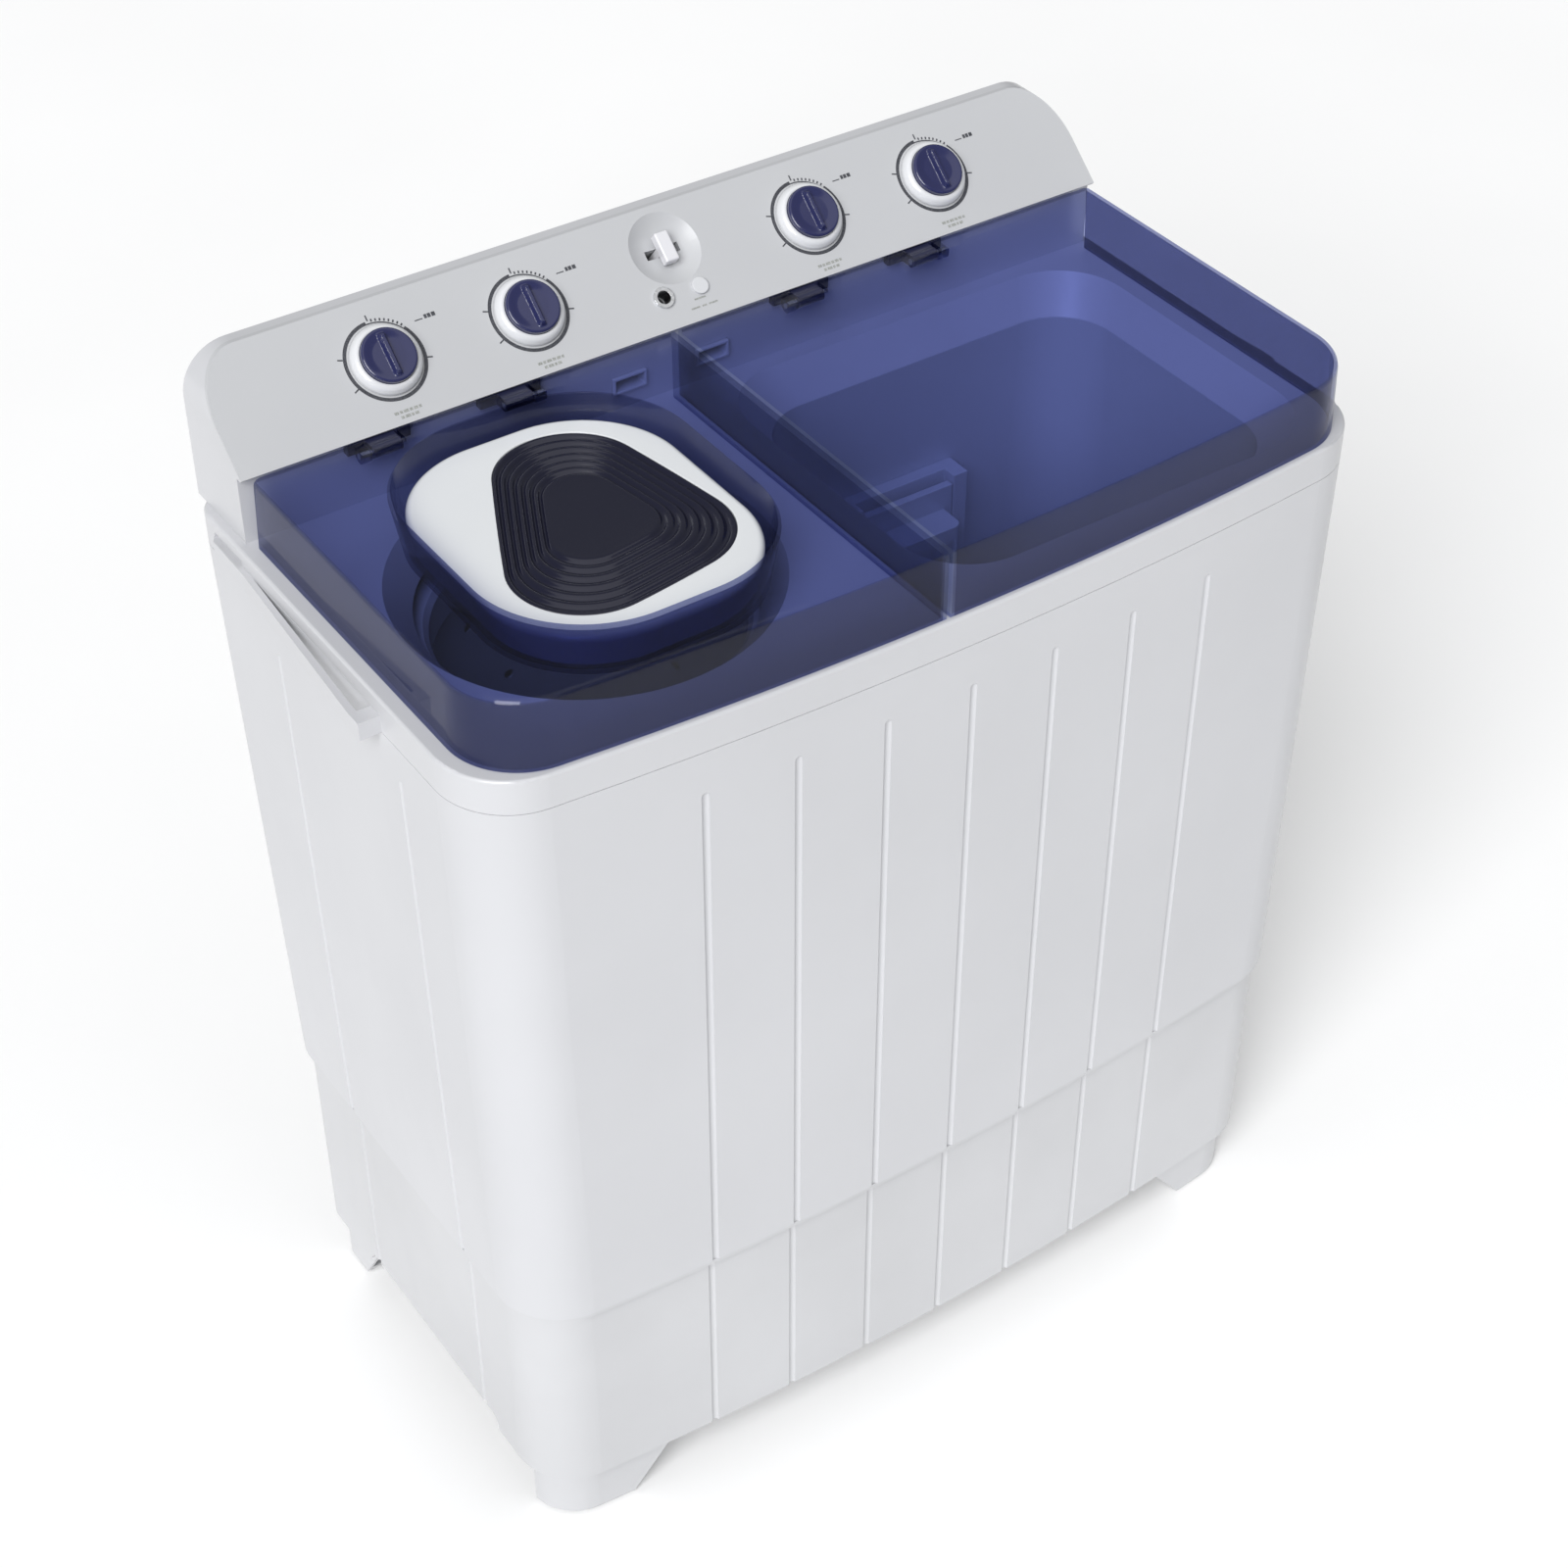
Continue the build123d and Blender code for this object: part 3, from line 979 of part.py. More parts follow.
with BuildPart() as water_lever:
    with Locations(on_face(0, DISH_S, -4)):
        Box(12, 25, 9, align=(Align.CENTER, Align.CENTER, Align.MIN))
    fillet(water_lever.edges(), 1.5)
    with Locations(on_face(0, DISH_S, -26)):
        Box(8, 6.5, 23, align=(Align.CENTER, Align.CENTER, Align.MIN))
save(water_lever.part, "water_lever")

with BuildPart() as lid_switch:
    with Locations((-110, RISER_Y + CONSOLE_WALL, 858)):
        Box(28, 10, 16, align=(Align.CENTER, Align.MIN, Align.CENTER))
    with Locations((-104, RISER_Y + CONSOLE_WALL + 5, 866)):
        Cylinder(2, 3, align=(Align.CENTER, Align.CENTER, Align.MIN))
save(lid_switch.part, "lid_switch")

# ================================================================ lids


def lid_plan(half, front, back, x_low, x_high, corner):
    """Plan of one lid, cut out of the plan of both lids together."""
    with BuildSketch() as plan:
        add(plan_outline(half, front, back, corner, 2.0, BOW - 1))
        with Locations(((x_low + x_high) / 2, 0)):
            Rectangle(x_high - x_low, 600, mode=Mode.INTERSECT)
    return plan.sketch


LID_EDGE_R = 4.5


def lid_shell(x_low, x_high, divider_side):
    """Clear lid: flat top with a rounded edge, three walls, open at the bottom and the back."""
    inner_low = x_low + (LID_WALL if divider_side < 0 else -50)
    inner_high = x_high - (LID_WALL if divider_side > 0 else -50)
    levels = [(LID_BOTTOM, LID_HALF, 0.0)]
    for angle in (0, 30, 60, 90):
        levels.append((LID_TOP - LID_EDGE_R * (1 - sin(radians(angle))), LID_TOP_HALF,
                       LID_EDGE_R * (1 - cos(radians(angle)))))
    with BuildPart() as lid:
        for z, half, inset in levels:
            with BuildSketch(Plane.XY.offset(z)):
                add(lid_plan(half - inset, LID_FRONT + inset, LID_BACK, x_low, x_high, 58 - inset))
        loft(ruled=True)
        for z, half in ((LID_BOTTOM - 2, LID_HALF), (LID_TOP - LID_WALL, LID_TOP_HALF)):
            with BuildSketch(Plane.XY.offset(z)):
                add(lid_plan(half - LID_WALL, LID_FRONT + LID_WALL, LID_BACK + 20,
                             inner_low, inner_high, 55.0))
        loft(ruled=True, mode=Mode.SUBTRACT)
    return lid.part


EAR_W = 8.0
ARM_W = 24.0
ARM_FOOT_W = 52.0
ARM_FOOT_T = 6.5
ARM_H = 9.0
WASH_HINGES = ((82.0, 1), (221.0, -1))        # inner face of each lid ear, direction of its pin
SPIN_HINGES = ((-293.0, 1), (-154.0, -1))
NOTCH_Y = HINGE_Y - 7.5


def add_hinge_ears(hinges):
    """Ears for the pins, and notches in the rear edge where the fixed arms stand."""
    with BuildPart() as ears:
        for x, side in hinges:
            with Locations((x - side * EAR_W / 2, HINGE_Y, HINGE_Z)):
                Cylinder(6, EAR_W, rotation=(0, 90, 0))
                Box(EAR_W, 12, LID_TOP - LID_WALL + 0.5 - HINGE_Z,
                    align=(Align.CENTER, Align.CENTER, Align.MIN))
                Cylinder(PIN_R, EAR_W + 2, rotation=(0, 90, 0), mode=Mode.SUBTRACT)
    return ears.part


with BuildPart() as wash_lid:
    add(lid_shell(LID_SPLIT + 1.5, 420, -1))
    add(add_hinge_ears(WASH_HINGES))
    for x, side in WASH_HINGES:
        with Locations((x + side * (2 + ARM_W / 2), (NOTCH_Y + LID_BACK + 5) / 2, LID_TOP - 1)):
            Box(ARM_W + 2.5, LID_BACK + 5 - NOTCH_Y, 12, mode=Mode.SUBTRACT)
save(wash_lid.part, "wash_lid")

WELL = (-202.0, -23.0)
WELL_W = 232.0
WELL_D = 278.0
WELL_R = 92.0
WELL_Z = 838.0
with BuildPart() as spin_lid:
    add(lid_shell(-420, LID_SPLIT - 1.5, 1))
    # well for the washboard insert
    add(rounded_loft(WELL, (WELL_Z - SKIN, WELL_W - 9, WELL_D - 9, WELL_R - 3),
                     (LID_TOP - 1, WELL_W + 5, WELL_D + 5, WELL_R + 2)))
    add(rounded_loft(WELL, (WELL_Z, WELL_W - 14, WELL_D - 14, WELL_R - 6),
                     (LID_TOP + 0.2, WELL_W, WELL_D, WELL_R)), mode=Mode.SUBTRACT)
    add(add_hinge_ears(SPIN_HINGES))
    for x, side in SPIN_HINGES:
        with Locations((x + side * (2 + ARM_W / 2), (NOTCH_Y + LID_BACK + 5) / 2, LID_TOP - 1)):
            Box(ARM_W + 2.5, LID_BACK + 5 - NOTCH_Y, 12, mode=Mode.SUBTRACT)
save(spin_lid.part, "spin_lid")

BOARD_Z = 864.5
PAD_T = 6.0
PAD_CORNERS = ((-158.0, 193.0), (-319.0, -134.0), (-100.0, -105.0))
PAD_MID = (sum(p[0] for p in PAD_CORNERS) / 3, sum(p[1] for p in PAD_CORNERS) / 3)
PAD_BULGE = 6.0
PAD_CORNER = 57.0


def pad_outline(scale):
    """Three-cornered outline with bulging sides and round corners."""
    points = [(PAD_MID[0] + scale * (x - PAD_MID[0]), PAD_MID[1] + scale * (y - PAD_MID[1]))
              for x, y in PAD_CORNERS]
    with BuildSketch() as outline:
        with BuildLine():
            for start, end in zip(points, points[1:] + points[:1]):
                middle_x = (start[0] + end[0]) / 2
                middle_y = (start[1] + end[1]) / 2
                reach = hypot(middle_x - PAD_MID[0], middle_y - PAD_MID[1])
                swell = 1 + PAD_BULGE * scale / reach
                middle = (PAD_MID[0] + (middle_x - PAD_MID[0]) * swell,
                          PAD_MID[1] + (middle_y - PAD_MID[1]) * swell)
                ThreePointArc(start, middle, end)
        make_face()
        fillet(outline.vertices(), PAD_CORNER * scale)
    return outline.sketch


with BuildPart() as scrub_plate:
    add(rounded_loft(WELL, (WELL_Z, WELL_W - 24, WELL_D - 24, WELL_R - 10),
                     (BOARD_Z, WELL_W - 15, WELL_D - 15, WELL_R - 6)))
    fillet(scrub_plate.edges().group_by(Axis.Z)[-1], 5)
    add(rounded_loft(WELL, (WELL_Z - 1, WELL_W - 34, WELL_D - 34, WELL_R - 15),
                     (BOARD_Z - PAD_T - 3, WELL_W - 28, WELL_D - 28, WELL_R - 12)),
        mode=Mode.SUBTRACT)
    with BuildSketch(Plane.XY.offset(BOARD_Z - PAD_T)):
        add(pad_outline(1.0))
    extrude(amount=PAD_T + 2, mode=Mode.SUBTRACT)
save(scrub_plate.part, "scrub_plate")

RIDGES = 5
with BuildPart() as scrub_pad:
    # washboard pad: five raised ridges run round a flat middle
    with BuildSketch(Plane.XY.offset(BOARD_Z - PAD_T)):
        add(pad_outline(1.0))
    extrude(amount=PAD_T - 1.6)
    for k in range(RIDGES + 1):
        outer = 1.0 - 0.095 * k
        with BuildSketch(Plane.XY.offset(BOARD_Z - 1.6)):
            add(pad_outline(outer))
            if k < RIDGES:
                add(pad_outline(outer - 0.055), mode=Mode.SUBTRACT)
        extrude(amount=1.6)
save(scrub_pad.part, "scrub_pad")

for name, hinges in (("wash_lid_pins", WASH_HINGES), ("spin_lid_pins", SPIN_HINGES)):
    with BuildPart() as pins:
        for x, side in hinges:
            with Locations((x + side * (ARM_W + 2 - EAR_W) / 2, HINGE_Y, HINGE_Z)):
                Cylinder(PIN_R, EAR_W + ARM_W + 2, rotation=(0, 90, 0))
    save(pins.part, name)

with BuildPart() as hinge_arms:
    # four arms with a wide foot that reach forward from the riser and carry the lid pins
    for x, side in (*WASH_HINGES, *SPIN_HINGES):
        arm_x = x + side * (2 + ARM_W / 2)
        with Locations((arm_x, RISER_Y, HINGE_Z)):
            Box(ARM_FOOT_W, ARM_FOOT_T, ARM_H, align=(Align.CENTER, Align.MAX, Align.CENTER))
        with Locations((arm_x, HINGE_Y, HINGE_Z)):
            Cylinder(5, ARM_W, rotation=(0, 90, 0))
            Box(ARM_W, RISER_Y - HINGE_Y, ARM_H, align=(Align.CENTER, Align.MIN, Align.CENTER))
            Cylinder(PIN_R + FIT, ARM_W + 2, rotation=(0, 90, 0), mode=Mode.SUBTRACT)
save(hinge_arms.part, "hinge_arms")

with BuildPart() as cover_screws:
    # pan-head screws of the two rear covers
    head_spots = [(x, BASE_BACK + COVER_T, z) for x, z in COVER_SCREWS]
    head_spots += [(x, COVER_Y + 2.5, roof_z - 10) for x in BACK_SCREW_X]
    for spot in head_spots:
        with Locations(Location(spot, (-90, 0, 0))):
            Cylinder(4, 1.4, align=(Align.CENTER, Align.CENTER, Align.MIN))
            Cylinder(1.85, 12, align=(Align.CENTER, Align.CENTER, Align.MAX))
save(cover_screws.part, "cover_screws")
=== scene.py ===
"""Looks of the twin tub washer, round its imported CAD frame. Metres, +Z up, front towards -Y."""
import json
from math import cos, pi, radians, sin, tau

import bmesh
import bpy
from mathutils import Matrix, Vector


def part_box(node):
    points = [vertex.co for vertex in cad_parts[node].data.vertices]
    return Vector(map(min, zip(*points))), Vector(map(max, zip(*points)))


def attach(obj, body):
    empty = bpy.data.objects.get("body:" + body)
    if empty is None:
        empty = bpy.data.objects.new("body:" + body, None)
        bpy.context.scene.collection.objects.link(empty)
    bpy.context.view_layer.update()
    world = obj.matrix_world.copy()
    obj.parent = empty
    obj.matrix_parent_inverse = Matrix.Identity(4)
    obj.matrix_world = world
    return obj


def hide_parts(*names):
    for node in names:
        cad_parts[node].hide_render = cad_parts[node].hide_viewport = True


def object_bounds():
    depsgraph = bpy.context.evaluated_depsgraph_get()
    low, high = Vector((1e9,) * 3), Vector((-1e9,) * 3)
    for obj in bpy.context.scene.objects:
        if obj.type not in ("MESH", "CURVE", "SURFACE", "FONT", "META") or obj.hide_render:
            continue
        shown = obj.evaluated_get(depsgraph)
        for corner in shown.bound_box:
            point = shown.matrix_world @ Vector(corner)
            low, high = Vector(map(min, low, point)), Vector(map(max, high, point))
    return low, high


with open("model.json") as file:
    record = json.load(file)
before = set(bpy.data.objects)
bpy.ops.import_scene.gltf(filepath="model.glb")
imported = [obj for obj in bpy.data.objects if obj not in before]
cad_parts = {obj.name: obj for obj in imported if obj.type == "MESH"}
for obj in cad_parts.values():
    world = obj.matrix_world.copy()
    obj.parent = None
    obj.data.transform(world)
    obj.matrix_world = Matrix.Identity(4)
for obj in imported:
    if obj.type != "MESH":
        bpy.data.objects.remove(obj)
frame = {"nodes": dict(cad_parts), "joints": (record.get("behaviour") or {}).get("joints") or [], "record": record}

cad_low, cad_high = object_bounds()
nodes = frame["nodes"]
joints = {joint["name"]: joint for joint in frame["joints"]}

MM = 0.001
# where the two lids meet
LID_SPLIT_X = (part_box("spin_lid")[1].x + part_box("wash_lid")[0].x) / 2

# ---------------------------------------------------------------- camera, lights and floor
CAMERA_AT = Vector((-1.0435, -1.5066, 2.0497))
AZIMUTH = radians(-34.35)
ELEVATION = radians(40.05)
LENS = 66.7
LIGHT_DISTANCE = 4.0
FLOOR_HALF = 16.0


def direction(azimuth, elevation):
    """Unit vector from the machine towards a viewer or a light."""
    return Vector((sin(azimuth) * cos(elevation), -cos(azimuth) * cos(elevation), sin(elevation)))


def add_camera():
    lens = bpy.data.cameras.new("camera")
    lens.lens = LENS
    lens.sensor_width = 36.0
    camera = bpy.data.objects.new("camera", lens)
    bpy.context.scene.collection.objects.link(camera)
    camera.location = CAMERA_AT
    camera.rotation_euler = (-direction(AZIMUTH, ELEVATION)).to_track_quat("-Z", "Y").to_euler()
    bpy.context.scene.camera = camera


def add_broad_light(name, azimuth, elevation, spread, strength):
    """Even light from one side of the studio, as wide in the sky as spread (degrees)."""
    lamp = bpy.data.lights.new(name, "SUN")
    lamp.angle = radians(spread)
    lamp.energy = strength
    holder = bpy.data.objects.new(name, lamp)
    bpy.context.scene.collection.objects.link(holder)
    towards = direction(radians(azimuth), radians(elevation))
    holder.location = towards * LIGHT_DISTANCE
    holder.rotation_euler = (-towards).to_track_quat("-Z", "Y").to_euler()


def add_world():
    world = bpy.data.worlds.new("studio")
    world.use_nodes = True
    background = world.node_tree.nodes["Background"]
    background.inputs["Color"].default_value = (0.97, 0.985, 1.0, 1.0)
    background.inputs["Strength"].default_value = 0.22
    bpy.context.scene.world = world


# ---------------------------------------------------------------- materials
# sockets that a Mix node uses for colours
MIX_FACTOR, MIX_FIRST, MIX_SECOND, MIX_RESULT = 0, 6, 7, 2


class Finish:
    """A procedural material: a Principled shader and short calls for the nodes that feed it."""

    def __init__(self, name, color, roughness, **sockets):
        """sockets are more inputs of the Principled shader, with _ for each space."""
        self.material = bpy.data.materials.new(name)
        self.material.use_nodes = True
        self.tree = self.material.node_tree
        self.shader = self.tree.nodes["Principled BSDF"]
        self.shader.inputs["Base Color"].default_value = (*color, 1.0)
        self.shader.inputs["Roughness"].default_value = roughness
        for socket, value in sockets.items():
            self.shader.inputs[socket.replace("_", " ")].default_value = value
        self.coordinates = self.node("ShaderNodeTexCoord")
        self.place = self.coordinates.outputs["Object"]

    def node(self, kind, links=None, **settings):
        """New node; links gives each input a socket to follow or a plain value."""
        made = self.tree.nodes.new(kind)
        for key, value in settings.items():
            setattr(made, key, value)
        for key, value in (links or {}).items():
            if isinstance(value, bpy.types.NodeSocket):
                self.tree.links.new(value, made.inputs[key])
            else:
                made.inputs[key].default_value = value
        return made

    def noise(self, scale, detail=3.0, stretch=(1.0, 1.0, 1.0)):
        """Noise fixed to the piece; scale counts its lumps in a metre."""
        spread = self.node("ShaderNodeMapping", {"Vector": self.place, "Scale": stretch})
        return self.node("ShaderNodeTexNoise", {"Vector": spread.outputs[0], "Scale": scale,
                                                "Detail": detail}).outputs[0]

    def remap(self, value, low, high, start=0.3, stop=0.7):
        """Smooth step from low to high while value goes from start to stop."""
        return self.node("ShaderNodeMapRange", {"Value": value, "From Min": start, "From Max": stop,
                                                "To Min": low, "To Max": high},
                         interpolation_type="SMOOTHSTEP").outputs[0]

    def mix(self, factor, first, second):
        """Colour between first and second, each a colour or a socket."""
        links = {MIX_FACTOR: factor}
        for socket, color in ((MIX_FIRST, first), (MIX_SECOND, second)):
            links[socket] = color if isinstance(color, bpy.types.NodeSocket) else (*color, 1.0)
        return self.node("ShaderNodeMix", links, data_type="RGBA").outputs[MIX_RESULT]

    def feed(self, socket, value):
        self.tree.links.new(value, self.shader.inputs[socket])

    def relief(self, height, distance, edge=0.0):
        """Fine surface relief, over edges softened by a radius."""
        links = {"Height": height, "Strength": 1.0, "Distance": distance}
        if edge:
            links["Normal"] = self.node("ShaderNodeBevel", {"Radius": edge}, samples=4).outputs[0]
        self.feed("Normal", self.node("ShaderNodeBump", links).outputs[0])

    def worn_edges(self, radius):
        """Mask that is 1 on convex and concave edges and 0 on open surfaces."""
        bevel = self.node("ShaderNodeBevel", {"Radius": radius}, samples=4)
        normal = self.node("ShaderNodeNewGeometry").outputs["Normal"]
        dot = self.node("ShaderNodeVectorMath", {0: bevel.outputs[0], 1: normal},
                        operation="DOT_PRODUCT")
        return self.remap(dot.outputs["Value"], 1.0, 0.0, 0.82, 0.995)


def moulded(name, color, roughness=0.34, edge=0.0012, grain=0.000004, coat=0.25, dust=0.04):
    """Injection-moulded plastic: faint mottling, orange peel, and edges rubbed a little paler.

    A large panel has edge=0 and keeps its own edges.
    """
    finish = Finish(name, color, roughness, Coat_Weight=coat, Coat_Roughness=0.12,
                    Specular_IOR_Level=0.5)
    cloud = finish.noise(4.0, 4.0)
    dark = tuple(c * (1.0 - dust) for c in color)
    body = finish.mix(finish.remap(cloud, 0.0, 1.0), dark, color)
    if edge:
        rubbed = tuple(min(1.0, c * 1.12 + 0.01) for c in color)
        body = finish.mix(finish.worn_edges(edge * 1.5), body, rubbed)
    finish.feed("Base Color", body)
    smear = finish.noise(11.0, 6.0, (1.0, 1.0, 0.4))
    finish.feed("Roughness", finish.remap(smear, roughness * 0.88, roughness * 1.15))
    finish.relief(finish.noise(420.0, 2.0), grain, edge)
    return finish.material


def textured_plastic(name, color, roughness=0.5, coarse=900.0, depth=0.00008, edge=0.0008):
    """Dull plastic with a spark-eroded grain."""
    finish = Finish(name, color, roughness)
    speck = finish.noise(coarse, 5.0)
    dark = tuple(c * 0.86 for c in color)
    finish.feed("Base Color", finish.mix(finish.remap(speck, 0.0, 1.0), dark, color))
    finish.feed("Roughness", finish.remap(finish.noise(30.0, 4.0), roughness * 0.85, roughness * 1.15))
    finish.relief(speck, depth, edge)
    return finish.material


DIVIDER_REACH = 5.0 * MM


def clear_plastic(name, top, shaded_wall, divider, roughness=0.05):
    """Thin tinted see-through sheet with faint flow marks and hairline scuffs in its gloss.

    The colours are what one face of the sheet lets through: on the flat top; on the upright
    walls, tinted darker as painted shade for what is seen through them; and paler on the walls
    where the two lids meet, which keeps that painted shade off them. A see-through shader with gloss
    over it takes the place of the Principled one.
    """
    finish = Finish(name, top, roughness)
    normal = finish.node("ShaderNodeSeparateXYZ", {0: finish.coordinates.outputs["Normal"]}).outputs
    flat = finish.node("ShaderNodeMath", {0: normal["Z"]}, operation="ABSOLUTE").outputs[0]
    upright = finish.remap(flat, 1.0, 0.0, 0.15, 0.75)
    place = finish.node("ShaderNodeSeparateXYZ", {0: finish.place}).outputs
    across = finish.node("ShaderNodeMath", {0: place["X"], 1: LID_SPLIT_X}, operation="SUBTRACT")
    aside = finish.node("ShaderNodeMath", {0: across.outputs[0]}, operation="ABSOLUTE").outputs[0]
    between = finish.remap(aside, 1.0, 0.0, DIVIDER_REACH - 0.5 * MM, DIVIDER_REACH + 0.5 * MM)
    flow = finish.noise(3.0, 3.0, (1.0, 0.5, 1.0))
    deep = tuple(c * 0.95 for c in top)
    sheet_tint = finish.mix(finish.remap(flow, 0.0, 1.0), deep, top)
    # upright walls take a darker tint that is painted shade, not a thicker sheet; walls where the lids meet take a
    # paler one
    painted_shade_walls = finish.mix(between, shaded_wall, divider)
    passed = finish.mix(upright, sheet_tint, painted_shade_walls)
    scuff = finish.noise(60.0, 8.0, (1.0, 0.15, 1.0))
    ripple = finish.node("ShaderNodeBump", {"Height": finish.noise(38.0, 2.0), "Strength": 1.0,
                                            "Distance": 0.000012}).outputs[0]
    clear = finish.node("ShaderNodeBsdfTransparent", {"Color": passed})
    gloss = finish.node("ShaderNodeBsdfGlossy", {
        "Roughness": finish.remap(scuff, roughness, roughness * 2.6, 0.45, 0.75), "Normal": ripple})
    grazing = finish.node("ShaderNodeLayerWeight", {"Blend": 0.5, "Normal": ripple}).outputs["Facing"]
    steep = finish.node("ShaderNodeMath", {0: grazing, 1: 5.0}, operation="POWER").outputs[0]
    share = finish.node("ShaderNodeMath", {0: steep, 1: 0.7, 2: 0.03}, operation="MULTIPLY_ADD")
    sheet = finish.node("ShaderNodeMixShader", {0: share.outputs[0], 1: clear.outputs[0],
                                                2: gloss.outputs[0]})
    finish.tree.links.new(sheet.outputs[0], finish.tree.nodes["Material Output"].inputs["Surface"])
    finish.tree.nodes.remove(finish.shader)
    return finish.material


def rubber(name, color=(0.022, 0.022, 0.024)):
    finish = Finish(name, color, 0.72, Specular_IOR_Level=0.35)
    bloom = finish.noise(55.0, 6.0)
    grey = tuple(c * 2.4 + 0.01 for c in color)
    finish.feed("Base Color", finish.mix(finish.remap(bloom, 0.0, 0.6, 0.4, 0.8), color, grey))
    finish.feed("Roughness", finish.remap(bloom, 0.6, 0.85))
    finish.relief(finish.noise(700.0, 4.0), 0.0001, 0.0008)
    return finish.material


def metal(name, color, roughness, stretch=(1.0, 1.0, 30.0), scale=300.0, depth=0.00001):
    """Bare metal with brush or turning marks drawn out across one axis."""
    finish = Finish(name, color, roughness, Metallic=1.0)
    lines = finish.noise(scale, 4.0, stretch)
    dull = tuple(c * 0.75 for c in color)
    finish.feed("Base Color", finish.mix(finish.remap(lines, 0.0, 1.0), dull, color))
    finish.feed("Roughness", finish.remap(lines, roughness * 0.9, roughness * 1.4))
    finish.relief(lines, depth, 0.0006)
    return finish.material


def enamel(name, color):
    """Stoved paint on pressed steel, with chips of metal along its edges."""
    finish = Finish(name, color, 0.42, Coat_Weight=0.2)
    chips = finish.noise(240.0, 6.0)
    chip_mask = finish.node("ShaderNodeMath", {0: finish.worn_edges(0.002),
                                               1: finish.remap(chips, 0.0, 1.0, 0.52, 0.6)},
                            operation="MULTIPLY").outputs[0]
    finish.feed("Base Color", finish.mix(chip_mask, color, (0.42, 0.42, 0.43)))
    finish.feed("Metallic", chip_mask)
    finish.feed("Roughness", finish.remap(finish.noise(18.0, 5.0), 0.34, 0.5))
    finish.relief(chips, 0.00004, 0.001)
    return finish.material


WHITE = (0.545, 0.55, 0.572)
LID_TOP = (0.64, 0.675, 0.865)
# darker tint of the upright lid walls: painted shade for what is seen through them
LID_WALL_PAINTED_SHADE = (0.44, 0.46, 0.60)
LID_DIVIDER = (0.82, 0.84, 0.91)
NAVY = (0.006, 0.0065, 0.020)

FINISHES = {
    "cabinet_white": lambda n: moulded(n, WHITE, edge=0.0),
    "base_white": lambda n: moulded(n, (0.54, 0.545, 0.563), edge=0.0, dust=0.08),
    "deck_white": lambda n: moulded(n, WHITE, edge=0.0),
    "rear_cover_white": lambda n: moulded(n, (0.51, 0.515, 0.535), 0.38, edge=0.0, coat=0.1),
    "console_white": lambda n: moulded(n, WHITE, edge=0.0),
    "panel_grey": lambda n: moulded(n, (0.485, 0.493, 0.51), edge=0.0, grain=0.000008, coat=0.12,
                                    dust=0.03),
    "foot_rubber": lambda n: rubber(n),
    "lid_blue": lambda n: clear_plastic(n, LID_TOP, LID_WALL_PAINTED_SHADE, LID_DIVIDER),
    "knob_white": lambda n: moulded(n, (0.66, 0.67, 0.69), 0.2, edge=0.0006, coat=0.5),
    "knob_blue": lambda n: moulded(n, (0.020, 0.023, 0.085), 0.16, edge=0.0006, coat=0.5),
    "board_white": lambda n: moulded(n, (0.76, 0.78, 0.80), 0.2, coat=0.6),
    "pad_navy": lambda n: moulded(n, NAVY, 0.21, edge=0.0005, coat=0.3),
    "lever_white": lambda n: moulded(n, (0.68, 0.68, 0.71), 0.21, edge=0.0008, coat=0.5),
    "port_chrome": lambda n: metal(n, (0.80, 0.81, 0.83), 0.08, (1.0, 1.0, 1.0), 500.0, 0.000004),
    "inlet_white": lambda n: moulded(n, (0.60, 0.61, 0.63)),
    "tub_white": lambda n: moulded(n, (0.52, 0.54, 0.57), 0.21),
    "pulsator_blue": lambda n: moulded(n, (0.10, 0.15, 0.40), 0.21, coat=0.5),
    "basket_white": lambda n: moulded(n, (0.60, 0.62, 0.65), 0.21, edge=0.0006),
    "hinge_navy": lambda n: moulded(n, (0.012, 0.014, 0.045), edge=0.0006),
    "steel": lambda n: metal(n, (0.50, 0.51, 0.53), 0.34),
    "motor_grey": lambda n: enamel(n, (0.10, 0.11, 0.12)),
    "black_rubber": lambda n: rubber(n),
    "pipe_grey": lambda n: textured_plastic(n, (0.20, 0.21, 0.225)),
    "switch_black": lambda n: textured_plastic(n, (0.03, 0.03, 0.034), 0.45),
    "pulley_white": lambda n: textured_plastic(n, (0.60, 0.60, 0.60), 0.5),
    "pulley_metal": lambda n: metal(n, (0.62, 0.62, 0.64), 0.34, (1.0, 1.0, 60.0), 200.0),
    "can_aluminium": lambda n: metal(n, (0.70, 0.70, 0.72), 0.34, (1.0, 1.0, 40.0), 150.0),
}


def dial_ink(name):
    """Screen-printed ink, a little uneven."""
    finish = Finish(name, (0.045, 0.047, 0.055), 0.45)
    patch = finish.noise(900.0, 4.0)
    finish.feed("Base Color", finish.mix(finish.remap(patch, 0.0, 1.0), (0.03, 0.032, 0.04),
                                         (0.075, 0.078, 0.09)))
    finish.feed("Roughness", finish.remap(patch, 0.38, 0.55))
    return finish.material


def pale_ink(name):
    """Worn grey ink of the small captions."""
    finish = Finish(name, (0.30, 0.31, 0.29), 0.5)
    patch = finish.noise(1500.0, 5.0)
    finish.feed("Base Color", finish.mix(finish.remap(patch, 0.0, 1.0), (0.18, 0.19, 0.18),
                                         (0.42, 0.43, 0.41)))
    return finish.material


def net_cloth(name):
    finish = Finish(name, (0.62, 0.66, 0.72), 0.6, Sheen_Weight=0.3)
    weave = finish.noise(2600.0, 3.0)
    finish.feed("Base Color", finish.mix(finish.remap(weave, 0.0, 1.0), (0.5, 0.54, 0.6),
                                         (0.72, 0.76, 0.8)))
    finish.relief(weave, 0.0001)
    return finish.material


